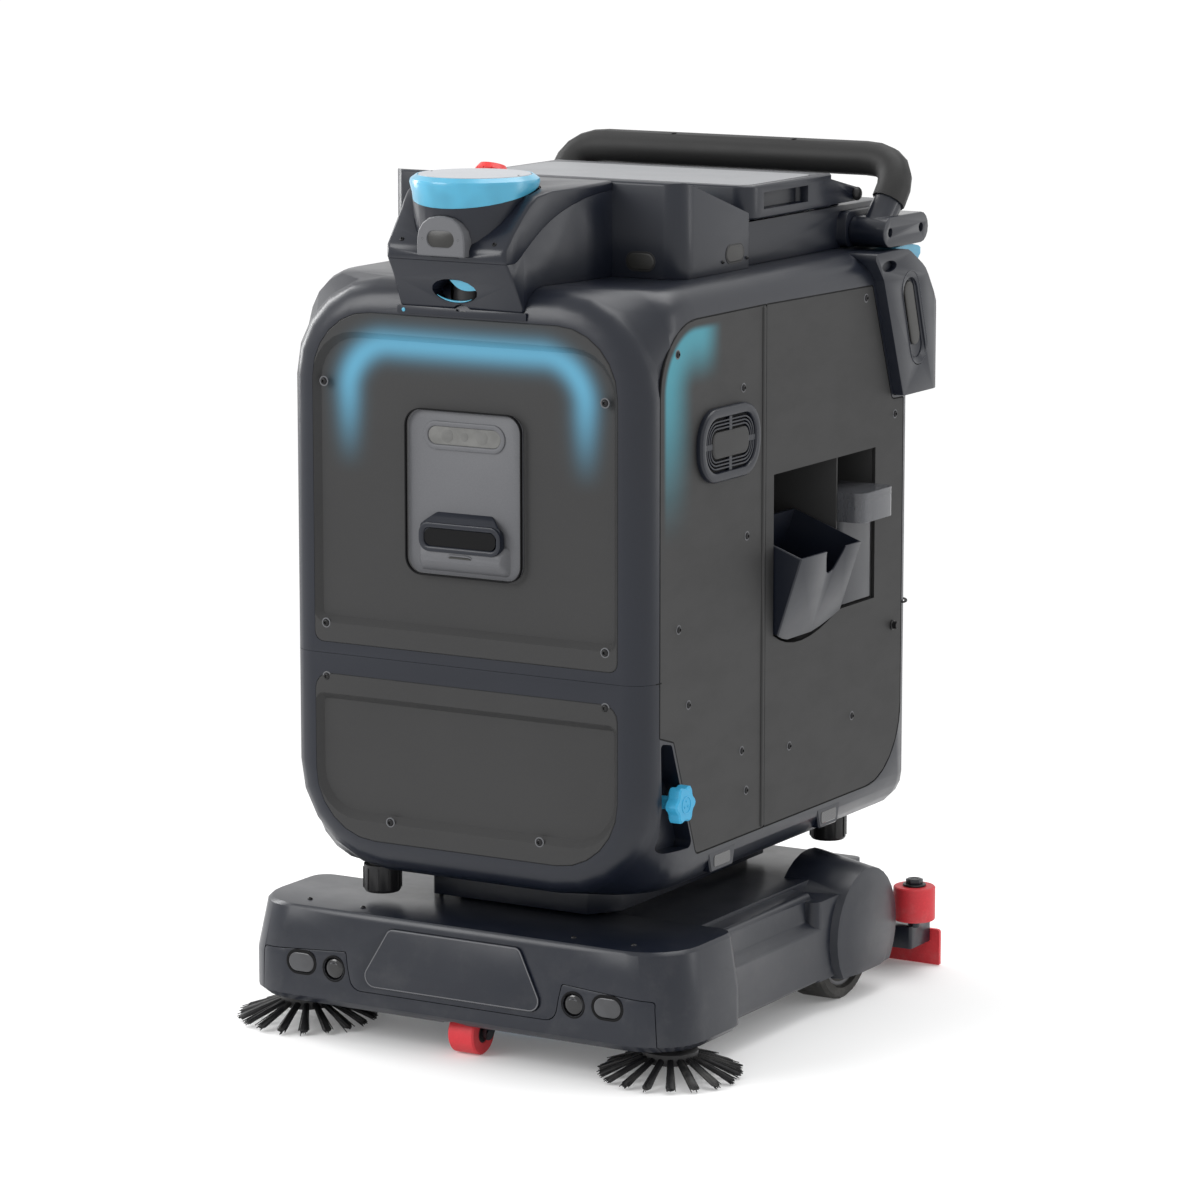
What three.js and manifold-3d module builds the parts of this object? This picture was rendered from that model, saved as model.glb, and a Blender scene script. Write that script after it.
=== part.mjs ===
// A commercial robotic floor cleaner: a scrubbing base with a bumper, brushes, drive wheels and a
// squeegee, and a two-part body with its sensors, tank lid, debris bin, bottle and push handle.
// Millimetres. X to the right, -Y is the front, +Z is up, and the floor is z = 0.
import * as THREE from "three";
import { mergeVertices } from "three/addons/utils/BufferGeometryUtils.js";
import Module from "manifold-3d";

const wasm = await Module();
wasm.setup();

// ---------------------------------------------------------------- driving dimensions

const GAP = 0.4; // between pieces that touch
const RUN = 3; // between a piece that moves and what it moves past

const body = {
  halfWidth: 250,
  front: -320,
  back: 378,
  bottom: 208,
  top: 933,
  seam: 475,
  wall: 6,
  frontWall: 17,
  frontRound: 33,
  rearRound: 50,
  edgeRound: 38,
  cornerDrop: 85,
};
body.sideTop = body.top - 38;
body.sideBottom = body.bottom + 46;

const panel = {
  thick: 4,
  frontHalfWidth: body.halfWidth - 38.5,
  frontDepth: 12,
  rim: 24,
  dish: 8,
  upperBottom: body.seam + 14,
  upperTop: body.top - 41,
  lowerBottom: body.bottom + 41,
  lowerTop: body.seam - 25,
  sideFront: body.front + 33,
  sideSplit: body.front + 289,
  sideBack: body.back - 44.5,
  stepTop: body.sideBottom + 155,
  stepFoot: body.front + 120,
};

const insert = { halfWidth: 79.5, bottom: panel.upperBottom + 95, height: 197, proud: 2.5, round: 20 };
insert.top = insert.bottom + insert.height;
const camera = { z: insert.top - 29.5, width: 101, height: 22, rim: 6 };
const hood = { halfWidth: 56, bottom: insert.bottom + 6, height: 65, reach: 15, slotHeight: 8 };
hood.top = hood.bottom + hood.height;
hood.slotZ = hood.top - 22;

const bin = { tilt: 20, width: 158, depth: 100, height: 116, wall: 3, hingeX: body.halfWidth - 4 };
const bottle = { width: 86, depth: 96, height: 105, lidHeight: 37, lidReach: 31 };
const bay = { front: panel.sideSplit + 21, bottom: body.seam - 3, height: 214, depth: 148, wall: 3 };
bay.ledge = 22;
bay.split = bay.front + bin.width + 4 * RUN + 2;
bay.back = bay.split + bay.wall + bottle.width + 7;
bay.shelf = bay.bottom + bay.ledge;
bay.top = bay.bottom + bay.height;
bin.hingeZ = bay.bottom + 4;
bottle.bottom = bay.shelf + 4;
bottle.top = bottle.bottom + bottle.height;

const speakerPlace = { front: body.front + 118, length: 146, bottom: body.top - 237, height: 89, proud: 8 };

const wing = {
  halfWidth: body.halfWidth - 44.4,
  front: body.front + 162,
  rise: body.front + 174,
  back: body.front + 326,
  top: body.top + 114,
  low: body.top + 66,
};
const nose = { tip: body.front - 36, kneeZ: body.top + 40, chinY: body.front, chinZ: body.top - 29 };
nose.tipHalf = 82;
nose.rootHalf = 110;
const pod = { y: nose.tip + 66, top: body.top + 128, foot: body.top + 35, radius: 77, ringTilt: 11.5 };
pod.capRadius = pod.radius - 9.5;
pod.footRadius = pod.radius - 9;
pod.shoulder = pod.top - 21;
const lidar = { y: nose.tip + 58, radius: 22, bottom: body.top - 22, top: body.top + 8 };
const mouth = { x: -3, z: body.top - 7, halfWidth: 31, halfHeight: 15 };
const stop = { x: -88, y: wing.front + 46, radius: 21, height: 19, depth: 7, travel: 5 };
const screen = { left: -30, right: 170, halfLength: 45, y: wing.front + 92, round: 4 };

const tank = { halfWidth: body.halfWidth - 58, front: wing.back + 6, back: body.back + 10, wall: 8 };
tank.top = body.top + 53;
const lid = { halfWidth: tank.halfWidth + 8, front: tank.front + 5, back: tank.back - 156 };
lid.bottom = tank.top + 3;
lid.top = lid.bottom + 41;
lid.round = 25;
lid.inlay = 2;
lid.margin = 10;
const lidHinge = { y: lid.back + 60, z: lid.bottom + 11, radius: 9, pin: 4, armWidth: 20 };

const boss = { z: tank.top - 32, height: 39, front: tank.back - 123, length: 124, hole: 6, holePitch: 85 };
boss.inner = tank.halfWidth + 13;
boss.outer = boss.inner + 50;
const handle = { x: boss.outer - 8, tube: 19, grip: 22, barY: boss.front + 80, bend: 58 };
handle.barZ = boss.z + 86;

const rearPod = { outer: body.halfWidth + 13, inner: body.halfWidth - 62, crown: body.top - 1 };
rearPod.foot = rearPod.crown - 186;
rearPod.back = body.back + 62;

const deck = { top: 163, bottom: 44, halfWidth: 310, front: -351, back: -186, round: 65, draft: 11 };
const arm = { outer: 280, inner: 262, bottom: 41, ledge: 112 };
const chassis = { halfWidth: 236, front: -200, back: 262, bottom: 66, top: 150 };
const bumper = { depth: 26, travel: 5, low: 68, high: 114, shoulder: 150, end: 279 };
const wheel = { radius: 72, width: 52, y: 150, outer: 270, tyre: 14 };
const drum = { y: wheel.y + 20, z: wheel.radius + 14, outerRadius: 80, innerRadius: 95 };
drum.outer = 290;
drum.inner = 205;
const caster = { y: -285, trail: 22, radius: 26, width: 36, pocket: 56, hub: 11, axle: 5 };
caster.crown = 2 * caster.radius + 6;
const sideBrush = { x: 258, y: -275, radius: 90, hub: 30, tufts: 18 };
const scrub = { y: -62, radius: 150, hub: 118, top: 60, shaft: 16 };
const squeegee = { y: 357, halfWidth: 300, thick: 5, height: 48, pivotY: 285, pivotZ: 96, pivot: 6 };
const roller = { x: 285, y: 311, radius: 27, bottom: 70, top: 114 };
const pedestal = { front: -216, back: 190, halfWidth: 135, cornerX: 110, cornerY: -175 };
const knob = { y: panel.sideFront + 32, z: body.sideBottom + 72, radius: 24, depth: 17, pocket: 22 };
knob.lobes = 6;
const cap = { radius: 24, height: 34, ribs: 10 };

const colour = {
  shell: 0x3a3f4a,
  panel: 0x444444,
  insert: 0x77787c,
  glass: 0x2c2c2c,
  black: 0x1c1c1c,
  glow: 0x5fb0d4,
  pale: 0xb9bbbe,
  red: 0xd9474f,
  stop: 0xd8232a,
  blue: 0x3fb0dc,
  clear: 0x9aa0a6,
};

// ---------------------------------------------------------------- solids

function solid(geometry) {
  const plain = new THREE.BufferGeometry();
  const source = geometry.index ? geometry.toNonIndexed() : geometry;
  plain.setAttribute("position", source.getAttribute("position"));
  const merged = mergeVertices(plain, 1e-3);
  return new wasm.Manifold(
    new wasm.Mesh({
      numProp: 3,
      vertProperties: merged.attributes.position.array,
      triVerts: new Uint32Array(merged.index.array),
    }),
  );
}

function geometryOf(shape) {
  const mesh = shape.getMesh();
  const geometry = new THREE.BufferGeometry();
  geometry.setAttribute("position", new THREE.BufferAttribute(new Float32Array(mesh.vertProperties), 3));
  geometry.setIndex(new THREE.BufferAttribute(new Uint32Array(mesh.triVerts), 1));
  return geometry;
}

const join = (first, ...rest) => rest.reduce((sum, next) => sum.add(next), first);
const cut = (first, ...rest) => rest.reduce((left, next) => left.subtract(next), first);

// A closed outline from corners [u, v, radius]; a radius of 0, or none, keeps the corner sharp.
function outline(corners) {
  const points = corners.map(([u, v]) => new THREE.Vector2(u, v));
  const traced = points.flatMap((here, i) => {
    const radius = corners[i][2] || 0;
    if (!radius) return [here];
    const toBefore = points[(i + points.length - 1) % points.length].clone().sub(here).normalize();
    const toAfter = points[(i + 1) % points.length].clone().sub(here).normalize();
    const half = Math.acos(THREE.MathUtils.clamp(toBefore.dot(toAfter), -1, 1)) / 2;
    const middle = toBefore.clone().add(toAfter).normalize();
    const centre = here.clone().addScaledVector(middle, radius / Math.sin(half));
    const start = here.clone().addScaledVector(toBefore, radius / Math.tan(half)).sub(centre);
    const turn = (Math.PI - 2 * half) * Math.sign(toAfter.cross(toBefore));
    const steps = Math.ceil((Math.abs(turn) / Math.PI) * (radius > 30 ? 12 : radius > 8 ? 8 : 5));
    return Array.from({ length: steps + 1 }, (_, k) =>
      start.clone().rotateAround(new THREE.Vector2(), (turn * k) / steps).add(centre),
    );
  });
  const next = (i) => traced[(i + 1) % traced.length];
  return new THREE.Shape(traced.filter((point, i) => point.distanceTo(next(i)) > 0.01));
}

function rectangle(u0, v0, u1, v1, radius = 0) {
  const [a, b, c, d] = Array.isArray(radius) ? radius : [radius, radius, radius, radius];
  return outline([
    [u0, v0, a],
    [u1, v0, b],
    [u1, v1, c],
    [u0, v1, d],
  ]);
}

const stadium = (u, v, width, height) =>
  rectangle(u - width / 2, v - height / 2, u + width / 2, v + height / 2, Math.min(width, height) / 2);

// Local u, v and depth of an extruded outline, turned onto the axis that it runs along.
const bases = {
  x: [new THREE.Vector3(0, 1, 0), new THREE.Vector3(0, 0, 1), new THREE.Vector3(1, 0, 0)],
  y: [new THREE.Vector3(1, 0, 0), new THREE.Vector3(0, 0, 1), new THREE.Vector3(0, -1, 0)],
  z: [new THREE.Vector3(1, 0, 0), new THREE.Vector3(0, 1, 0), new THREE.Vector3(0, 0, 1)],
};

// An outline drawn in (y, z), (x, z) or (x, y) and extruded along x, y or z from one place to another.
function prism(shape, axis, from, to, bevel = 0, segments = 8) {
  const geometry = new THREE.ExtrudeGeometry(shape, {
    depth: to - from - 2 * bevel,
    bevelEnabled: bevel > 0,
    bevelThickness: bevel,
    bevelSize: bevel,
    bevelOffset: -bevel,
    bevelSegments: 1,
    curveSegments: segments,
  });
  geometry.applyMatrix4(new THREE.Matrix4().makeBasis(...bases[axis]));
  if (axis === "y") geometry.translate(0, to - bevel, 0);
  else geometry.translate(...(axis === "x" ? [from + bevel, 0, 0] : [0, 0, from + bevel]));
  return solid(geometry);
}

const block = (x0, x1, y0, y1, z0, z1, radius = 0) => prism(rectangle(x0, y0, x1, y1, radius), "z", z0, z1);

// A turned solid: profile points [radius, height] from the bottom of the axis to its top.
function turned(profile, segments = 24) {
  const points = profile.map(([radius, height]) => new THREE.Vector2(radius, height));
  return solid(new THREE.LatheGeometry(points, segments).rotateX(Math.PI / 2));
}

const disc = (radius, from, to, segments = 24, top = radius) =>
  turned([[0, from], [radius, from], [top, to], [0, to]], segments);

const moved = (shape, x, y, z) => shape.translate([x, y, z]);
const alongX = (shape) => shape.rotate([0, 90, 0]);
const mirrored = (shape) => shape.mirror([1, 0, 0]);

// A closed skin over rings that all have the same number of points.
function loft(rings) {
  const count = rings[0].length;
  const vertices = [];
  const triangle = (a, b, c) => [a, b, c].forEach((p) => vertices.push(p.x, p.y, p.z));
  const middle = (ring) => ring.reduce((sum, p) => sum.add(p), new THREE.Vector3()).divideScalar(count);
  const [first, last] = [rings[0], rings[rings.length - 1]];
  const [start, end] = [middle(first), middle(last)];
  for (let i = 0; i < count; i++) {
    const j = (i + 1) % count;
    triangle(first[i], start, first[j]);
    triangle(last[i], last[j], end);
    for (let k = 0; k + 1 < rings.length; k++) {
      triangle(rings[k][i], rings[k][j], rings[k + 1][j]);
      triangle(rings[k][i], rings[k + 1][j], rings[k + 1][i]);
    }
  }
  const geometry = new THREE.BufferGeometry();
  geometry.setAttribute("position", new THREE.BufferAttribute(new Float32Array(vertices), 3));
  return solid(geometry);
}

// Corner points, anticlockwise from the first quadrant, of a rectangle with two corner radii.
function roundedRing(halfWidth, low, high, lowRadius, highRadius, steps, place) {
  const corners = [
    [halfWidth - highRadius, high - highRadius, highRadius, 0],
    [-halfWidth + highRadius, high - highRadius, highRadius, 1],
    [-halfWidth + lowRadius, low + lowRadius, lowRadius, 2],
    [halfWidth - lowRadius, low + lowRadius, lowRadius, 3],
  ];
  return corners.flatMap(([u, v, radius, quarter]) =>
    Array.from({ length: steps + 1 }, (_, i) => {
      const angle = ((quarter + i / steps) * Math.PI) / 2;
      return place(u + radius * Math.cos(angle), v + radius * Math.sin(angle));
    }),
  );
}

const round01 = (t) => 1 - Math.sqrt(Math.max(0, 1 - THREE.MathUtils.clamp(t, 0, 1) ** 2));

// ---------------------------------------------------------------- body

// The body's outer skin, moved inwards by inset and by frontInset at its front face.
function bodySkin(inset = 0, frontInset = inset) {
  const { front, back, frontRound, rearRound, edgeRound } = body;
  const steps = [0, 1, 2, 3, 4].map((i) => (i * Math.PI) / 8);
  const corner = [1, 2, 3, 4].map((i) => front + frontRound + (i * body.cornerDrop) / 4);
  const stations = [
    ...steps.map((a) => front + frontRound * (1 - Math.cos(a))),
    ...corner,
    ...steps.map((a) => back - rearRound * (1 - Math.sin(a))),
  ];
  const scale = (back - front - inset - frontInset) / (back - front);
  const rings = stations.map((y) => {
    const nearFront = round01((front + frontRound - y) / frontRound);
    const nearBack = round01((y - back + rearRound) / rearRound);
    const halfWidth = body.halfWidth - frontRound * nearFront - rearRound * nearBack - inset;
    const top = body.top - edgeRound * nearFront - edgeRound * nearBack - inset;
    const bottom = body.bottom + edgeRound * nearFront + edgeRound * nearBack + inset;
    const drop = body.cornerDrop * round01(1 - (y - front - frontRound) / body.cornerDrop);
    const topRadius = Math.max(top + inset - body.sideTop + drop, edgeRound - 6) - inset / 2;
    const bottomRadius = Math.max(body.sideBottom + drop - bottom + inset, edgeRound - 6) - inset / 2;
    const at = front + frontInset + (y - front) * scale;
    const place = (x, z) => new THREE.Vector3(x, at, z);
    return roundedRing(halfWidth, bottom, top, bottomRadius, topRadius, 5, place);
  });
  return loft(rings.reverse());
}

const frontOutline = (low, high, lowRadius, highRadius, grow = 0) =>
  rectangle(-panel.frontHalfWidth - grow, low - grow, panel.frontHalfWidth + grow, high + grow, [
    lowRadius,
    lowRadius,
    highRadius,
    highRadius,
  ]);
const upperOutline = (grow) => frontOutline(panel.upperBottom, panel.upperTop, 12, 82, grow);
const lowerOutline = (grow) => frontOutline(panel.lowerBottom, panel.lowerTop, 84, 20, grow);

// Side panels are drawn in (y, z), for either side.
function sideFrontOutline(grow = 0) {
  return outline([
    [panel.sideFront - grow, panel.stepTop - grow, 2],
    [panel.sideFront + 33 - grow, panel.stepTop - 10 - grow, 4],
    [panel.stepFoot - grow, body.sideBottom - grow, 8],
    [panel.sideSplit - GAP + grow, body.sideBottom - grow, 2],
    [panel.sideSplit - GAP + grow, body.sideTop + grow, 2],
    [panel.sideFront - grow, body.sideTop + grow, body.cornerDrop],
  ]);
}

function sideRearOutline(grow = 0) {
  return outline([
    [panel.sideSplit + GAP - grow, body.sideBottom - grow, 2],
    [panel.sideBack + grow, body.sideBottom - grow, 93],
    [panel.sideBack + grow, rearPod.foot - 5 + grow, 2],
    [panel.sideBack - 31.5 + grow, rearPod.foot - 4 + grow, 8],
    [panel.sideBack - 87.5 + grow, body.sideTop - 4 + grow, 4],
    [panel.sideSplit + GAP - grow, body.sideTop + grow, 2],
  ]);
}

// The opening for the bin and the bottle: its floor under the bin is an arc.
function bayOutline(grow = 0) {
  const shape = new THREE.Shape();
  shape.moveTo(bay.front - grow, bay.top + grow);
  shape.lineTo(bay.front - grow, bay.shelf - 6);
  shape.quadraticCurveTo(bay.front + 62, bay.bottom - 22 - grow, bay.split, bay.shelf - grow);
  shape.lineTo(bay.back + grow, bay.shelf - grow);
  shape.lineTo(bay.back + grow, bay.top + grow);
  shape.closePath();
  return shape;
}

const side = body.halfWidth;

function housing() {
  const skin = bodySkin();
  const backing = block(side - knob.pocket - 8, side - 4, knob.y - 45, knob.y + 50, knob.z - 86, knob.z + 89);
  const pocketBoss = backing.intersect(bodySkin(2));
  let shell = cut(skin, bodySkin(body.wall, body.frontWall));
  shell = join(shell, pocketBoss);
  const ahead = body.front - 5;
  const seat = body.front + panel.frontDepth;
  for (const shape of [upperOutline(GAP), lowerOutline(GAP)]) {
    shell = cut(shell, prism(shape, "y", ahead, seat));
  }
  for (const shape of [sideFrontOutline(GAP), sideRearOutline(GAP)]) {
    const recess = prism(shape, "x", side - panel.thick - GAP, side + 5);
    shell = cut(shell, recess, mirrored(recess));
  }
  const bayBox = block(
    side - bay.depth - GAP, side, bay.front - 4, bay.back + 4, bay.bottom - 6, bay.top + 4);
  const rearClear = join(rearPodBlank(GAP), mirrored(rearPodBlank(GAP)));
  const lidarPocket = moved(disc(lidar.radius + RUN, lidar.bottom - RUN, body.top + 5), 0, lidar.y, 0);
  const holeHalf = tank.halfWidth - 42;
  const tankHole = block(
    -holeHalf, holeHalf, tank.front + 60, tank.back - 110, body.top - 20, body.top + 5, 20);
  return cut(shell, bayBox, rearClear, lidarPocket, tankHole, knobPocket());
}

function knobPocket() {
  const shape = outline([
    [knob.y - 30, knob.z + 76, 5],
    [knob.y - 25, knob.z - 58, 10],
    [knob.y + 47, knob.z - 62, 8],
    [knob.y - 4, knob.z + 71, 6],
  ]);
  return prism(shape, "x", side - knob.pocket, side + 5);
}

const slab = (low, high) => block(-400, 400, -500, 500, low, high);

function makeHousings() {
  const whole = housing();
  const seats = block(-400, 400, -500, 500, 0, body.seam - GAP / 2);
  const capHole = disc(cap.radius - 6, body.bottom - 5, body.bottom + 10);
  const holes = capPlaces().map(([x, y]) => moved(capHole, x, y, 0));
  const eyes = [proximityEye(body.front + 152, 68), proximityEye(body.back - 268, 62)];
  return {
    upper_housing: whole.intersect(slab(body.seam + GAP / 2, body.top + 100)),
    lower_housing: cut(join(whole.intersect(seats), ...eyes, ...eyes.map(mirrored)), ...holes),
  };
}

function frontPanel(shape, innerShape, opening) {
  const back = body.front + panel.frontDepth - GAP;
  const plate = prism(shape, "y", body.front - 1, back, 1);
  const dish = prism(innerShape, "y", body.front - 20, body.front - 1 + panel.dish, panel.dish);
  const made = cut(plate, dish);
  return opening ? cut(made, opening) : made;
}

function makeFrontPanels() {
  const inner = panel.rim;
  const hole = prism(insertOutline(GAP), "y", body.front - 30, body.front + 30);
  return {
    front_panel_upper: frontPanel(
      upperOutline(0),
      frontOutline(panel.upperBottom + inner, panel.upperTop - inner, 14, 60),
      hole,
    ).intersect(bodySkin(-3)),
    front_panel_lower: frontPanel(
      lowerOutline(0),
      frontOutline(panel.lowerBottom + inner, panel.lowerTop - inner, 60, 12),
    ).intersect(bodySkin(-3)),
  };
}

function insertOutline(grow = 0) {
  const half = insert.halfWidth + grow;
  return rectangle(-half, insert.bottom - grow, half, insert.top + grow, insert.round);
}

const facePlane = body.front - 1 + panel.dish;

function makeInsert() {
  const front = facePlane - insert.proud;
  const back = body.front + panel.frontDepth - GAP;
  const plate = prism(insertOutline(), "y", front, back, 1);
  const rimShape = stadium(0, camera.z, camera.width + 2 * camera.rim, camera.height + 2 * camera.rim);
  const eyeRim = prism(rimShape, "y", front - 2, back - 2, 1);
  const eye = prism(stadium(0, camera.z, camera.width, camera.height), "y", front - 10, front + 3);
  const tip = front - hood.reach;
  const { slotZ, slotHeight } = hood;
  const profile = outline([
    [front + 2, hood.bottom],
    [tip + 6, hood.bottom + 12, 6],
    [tip, slotZ - slotHeight, 3],
    [tip, slotZ + slotHeight, 3],
    [tip + 6, slotZ + slotHeight + 6, 4],
    [front + 2, hood.top],
  ]);
  const shade = prism(profile, "x", -hood.halfWidth, hood.halfWidth, 1.5);
  const slot = prism(stadium(0, slotZ, 2 * hood.halfWidth - 16, slotHeight), "y", tip - 5, tip + 8);
  const glass = prism(
    stadium(0, camera.z, camera.width - 2 * GAP, camera.height - 2 * GAP), "y", front, front + 3 - GAP);
  return {
    camera_insert: cut(join(plate, eyeRim, shade), eye, slot),
    camera_window: glass,
  };
}

function makeSidePanels() {
  const from = side - panel.thick;
  const opening = prism(bayOutline(), "x", from - 5, side + 5);
  const frontRight = prism(sideFrontOutline(), "x", from, side, 0.8);
  const rearBlank = prism(sideRearOutline(), "x", from, side, 0.8);
  return {
    side_panel_front_right: frontRight,
    side_panel_front_left: mirrored(frontRight),
    side_panel_rear_right: cut(rearBlank, opening),
    side_panel_rear_left: mirrored(rearBlank),
  };
}

function speaker() {
  const [y0, z0] = [speakerPlace.front, speakerPlace.bottom];
  const [y1, z1] = [y0 + speakerPlace.length, z0 + speakerPlace.height];
  const ring = (grow, from, to) =>
    prism(rectangle(y0 - grow, z0 - grow, y1 + grow, z1 + grow, 34 + grow), "x", from, to);
  const base = side + GAP;
  const bezel = prism(rectangle(y0, z0, y1, z1, 38), "x", base, base + speakerPlace.proud, 2);
  const slots = [17, 26].map((inset) =>
    cut(ring(-inset, base + 5, side + 20), ring(-inset - 4, side, side + 30)));
  return cut(bezel, ...slots);
}

function bayLiner() {
  const { wall } = bay;
  const inner = side - panel.thick - GAP - 0.2;
  const x0 = side - bay.depth;
  const whole = block(x0, inner, bay.front - wall, bay.back + wall, bay.bottom - 5, bay.top + wall);
  const binRoom = block(x0 + wall, side, bay.front, bay.split, bay.bottom - 2, bay.top);
  const bottleRoom = block(x0 + wall, side, bay.split + wall, bay.back, bay.shelf, bay.top);
  const underShelf = block(
    x0 - 5, side, bay.split + wall, bay.back + 10, bay.bottom - 10, bay.shelf - wall);
  return cut(whole, binRoom, bottleRoom, underShelf);
}

function debrisBin() {
  const { width, depth, height, wall } = bin;
  const y0 = bay.front + RUN;
  const shape = (inset) => {
    const made = new THREE.Shape();
    made.moveTo(-depth + inset, 4 + inset);
    made.lineTo(-4, inset);
    made.lineTo(5 - inset, 4 + inset);
    made.lineTo(1.5 - inset, height + inset * 9);
    made.lineTo(-depth + inset, height + inset * 9);
    made.closePath();
    return made;
  };
  const outer = prism(shape(0), "y", y0, y0 + width, 1.5);
  const inner = prism(shape(wall), "y", y0 + wall, y0 + width - wall);
  const foot = prism(binFoot(y0, y0 + width), "x", -depth - 10, 20);
  const middle = y0 + 0.58 * width;
  const notchHalf = [[34, height + 24], [22, height - 8, 8], [8, height - 32, 10]];
  const notch = prism(
    outline([
      ...notchHalf.map(([v, z, r]) => [middle + v, z, r]),
      ...notchHalf.map(([v, z, r]) => [middle - v, z, r]).reverse(),
    ]),
    "x", -20, 20);
  const upright = cut(outer.intersect(foot), inner, notch);
  return moved(upright.rotate([0, bin.tilt, 0]), bin.hingeX, 0, bin.hingeZ);
}

// The bin's outline seen from the side of the machine, with its rounded foot.
function binFoot(y0, y1) {
  const shape = new THREE.Shape();
  shape.moveTo(y0 - 1, 14);
  shape.quadraticCurveTo(y0 + 0.39 * (y1 - y0), -16, y1 + 1, 24);
  shape.lineTo(y1 + 1, bin.height + 44);
  shape.lineTo(y0 - 1, bin.height + 44);
  shape.closePath();
  return shape;
}

function makeBottle() {
  const y0 = bay.split + bay.wall + RUN;
  const x1 = side - 1;
  const x0 = x1 - bottle.depth;
  const flask = block(x0, x1, y0, y0 + bottle.width, bottle.bottom, bottle.top, 8);
  const middle = y0 + bottle.width / 2;
  const neck = moved(disc(20, bottle.top - 1, bottle.top + 4), x0 + 30, middle, 0);
  const lidBase = bottle.top + GAP;
  const lidTop = lidBase + bottle.lidHeight;
  const lidEnd = x1 + bottle.lidReach;
  const y1 = y0 + bottle.width;
  const lid = block(x0, lidEnd, y0 - 1, y1 + 1, lidBase, lidTop, 14);
  const socket = moved(disc(20 + GAP, lidBase - 1, lidBase + 5), x0 + 30, middle, 0);
  const plug = moved(disc(15, lidTop - 1, lidTop + 18), x0 + 40, middle - 13, 0);
  const scoop = block(x1 + 4, lidEnd - 3, y0 + 3, y1 - 3, lidBase - 1, lidTop - 9, 8);
  return { bottle: join(flask, neck), bottle_lid: cut(join(lid, plug), socket, scoop) };
}

// ---------------------------------------------------------------- console, pod and lidar

function makeConsole() {
  const clear = bodySkin(-GAP);
  const floor = body.top + GAP;
  const wingSide = outline([
    [wing.front, floor],
    [wing.back, floor],
    [wing.back, wing.low, 4],
    [wing.rise, wing.top, 8],
    [wing.front, wing.top, 4],
  ]);
  const wingPlan = rectangle(-wing.halfWidth, wing.front, wing.halfWidth, wing.back, [28, 28, 2, 2]);
  const wings = prism(wingSide, "x", -wing.halfWidth, wing.halfWidth)
    .intersect(prism(wingPlan, "z", floor, wing.top + 13));
  const whole = noseBody();
  const [reach, sky] = [nose.tip - 44, wing.top + 53];
  const above = prism(partingShape(reach, sky), "x", -150, 150, 0, 12);
  const below = cut(
    block(-150, 150, reach, wing.front + 4, nose.chinZ - 24, sky),
    prism(partingShape(reach, sky), "x", -160, 160, 0, 12));
  const flange = block(-89, 89, body.front - 2, body.front + 20, panel.upperTop + 3, panel.upperTop + 12);
  const podSeat = moved(
    join(disc(pod.footRadius + GAP, pod.foot - GAP, pod.shoulder, 32, pod.radius - 3 + GAP),
      disc(pod.radius + 1, pod.shoulder - 1, sky, 32)),
    0, pod.y, 0);
  const plateSeat = sensorPlate(GAP);
  const turretRoom = moved(disc(lidar.radius + RUN, lidar.bottom - 10, lidar.top + RUN), 0, lidar.y, 0);
  const opening = prism(ellipse(mouth.x, mouth.z, mouth.halfWidth, mouth.halfHeight), "y", reach, lidar.y);
  const stopHole = stopPlaced(disc(stop.radius + RUN, -stop.depth - stop.travel - RUN, 30));
  const screenSeat = onSlope(screenBlock(GAP, -3, 10), 0, screen.y);
  const chin = cut(
    join(whole.intersect(below), wings, flange), clear, turretRoom, opening, stopHole, screenSeat);
  const trim = cut(whole.intersect(moved(above, 0, 0, GAP)), podSeat, plateSeat, prismWings(wingPlan));
  return { console: cut(chin, podSeat, plateSeat), face_plate: trim };
}

const prismWings = (plan) => prism(plan, "z", body.top - 33, wing.top + 53).scale([1.01, 1.0, 1]);

// What lies above the line that parts the face plate from the chin, in (y, z).
function partingShape(reach, sky) {
  const shape = new THREE.Shape();
  const { tip, kneeZ } = nose;
  shape.moveTo(reach, kneeZ - 10);
  shape.lineTo(tip + 18, kneeZ - 10);
  shape.bezierCurveTo(tip + 44, kneeZ - 5, pod.y, kneeZ + 61, wing.front + 4, kneeZ + 63);
  shape.lineTo(wing.front + 4, sky);
  shape.lineTo(reach, sky);
  shape.closePath();
  return shape;
}

function ellipse(u, v, halfWidth, halfHeight) {
  const shape = new THREE.Shape();
  shape.absellipse(u, v, halfWidth, halfHeight, 0, Math.PI * 2, false);
  return shape;
}

function noseBody() {
  const root = wing.front + 3;
  // y, low, high, half-width
  const stations = [
    [nose.tip, nose.kneeZ - 4, nose.kneeZ + 4, nose.tipHalf - 4],
    [nose.tip + 3, nose.kneeZ - 11, nose.kneeZ + 9, nose.tipHalf],
    [nose.tip + 18, nose.kneeZ - 34, nose.kneeZ + 26, nose.tipHalf + 1],
    [nose.chinY, nose.chinZ, nose.kneeZ + 45, nose.tipHalf + 3],
    [nose.chinY + 10, nose.chinZ - 4, nose.kneeZ + 56, nose.tipHalf + 5],
    [nose.chinY + 24, nose.chinZ - 4, nose.kneeZ + 66, nose.tipHalf + 8],
    [nose.chinY + 50, nose.chinZ, nose.kneeZ + 71, nose.tipHalf + 13],
    [nose.chinY + 90, nose.chinZ, nose.kneeZ + 72, nose.rootHalf - 7],
    [root, nose.chinZ, wing.top, nose.rootHalf],
  ];
  const rings = stations.map(([y, low, high, half]) =>
    roundedRing(half, low, high, 3.5, 3.5, 3, (x, z) => new THREE.Vector3(x, y, z)),
  );
  return loft(rings.reverse());
}

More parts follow.
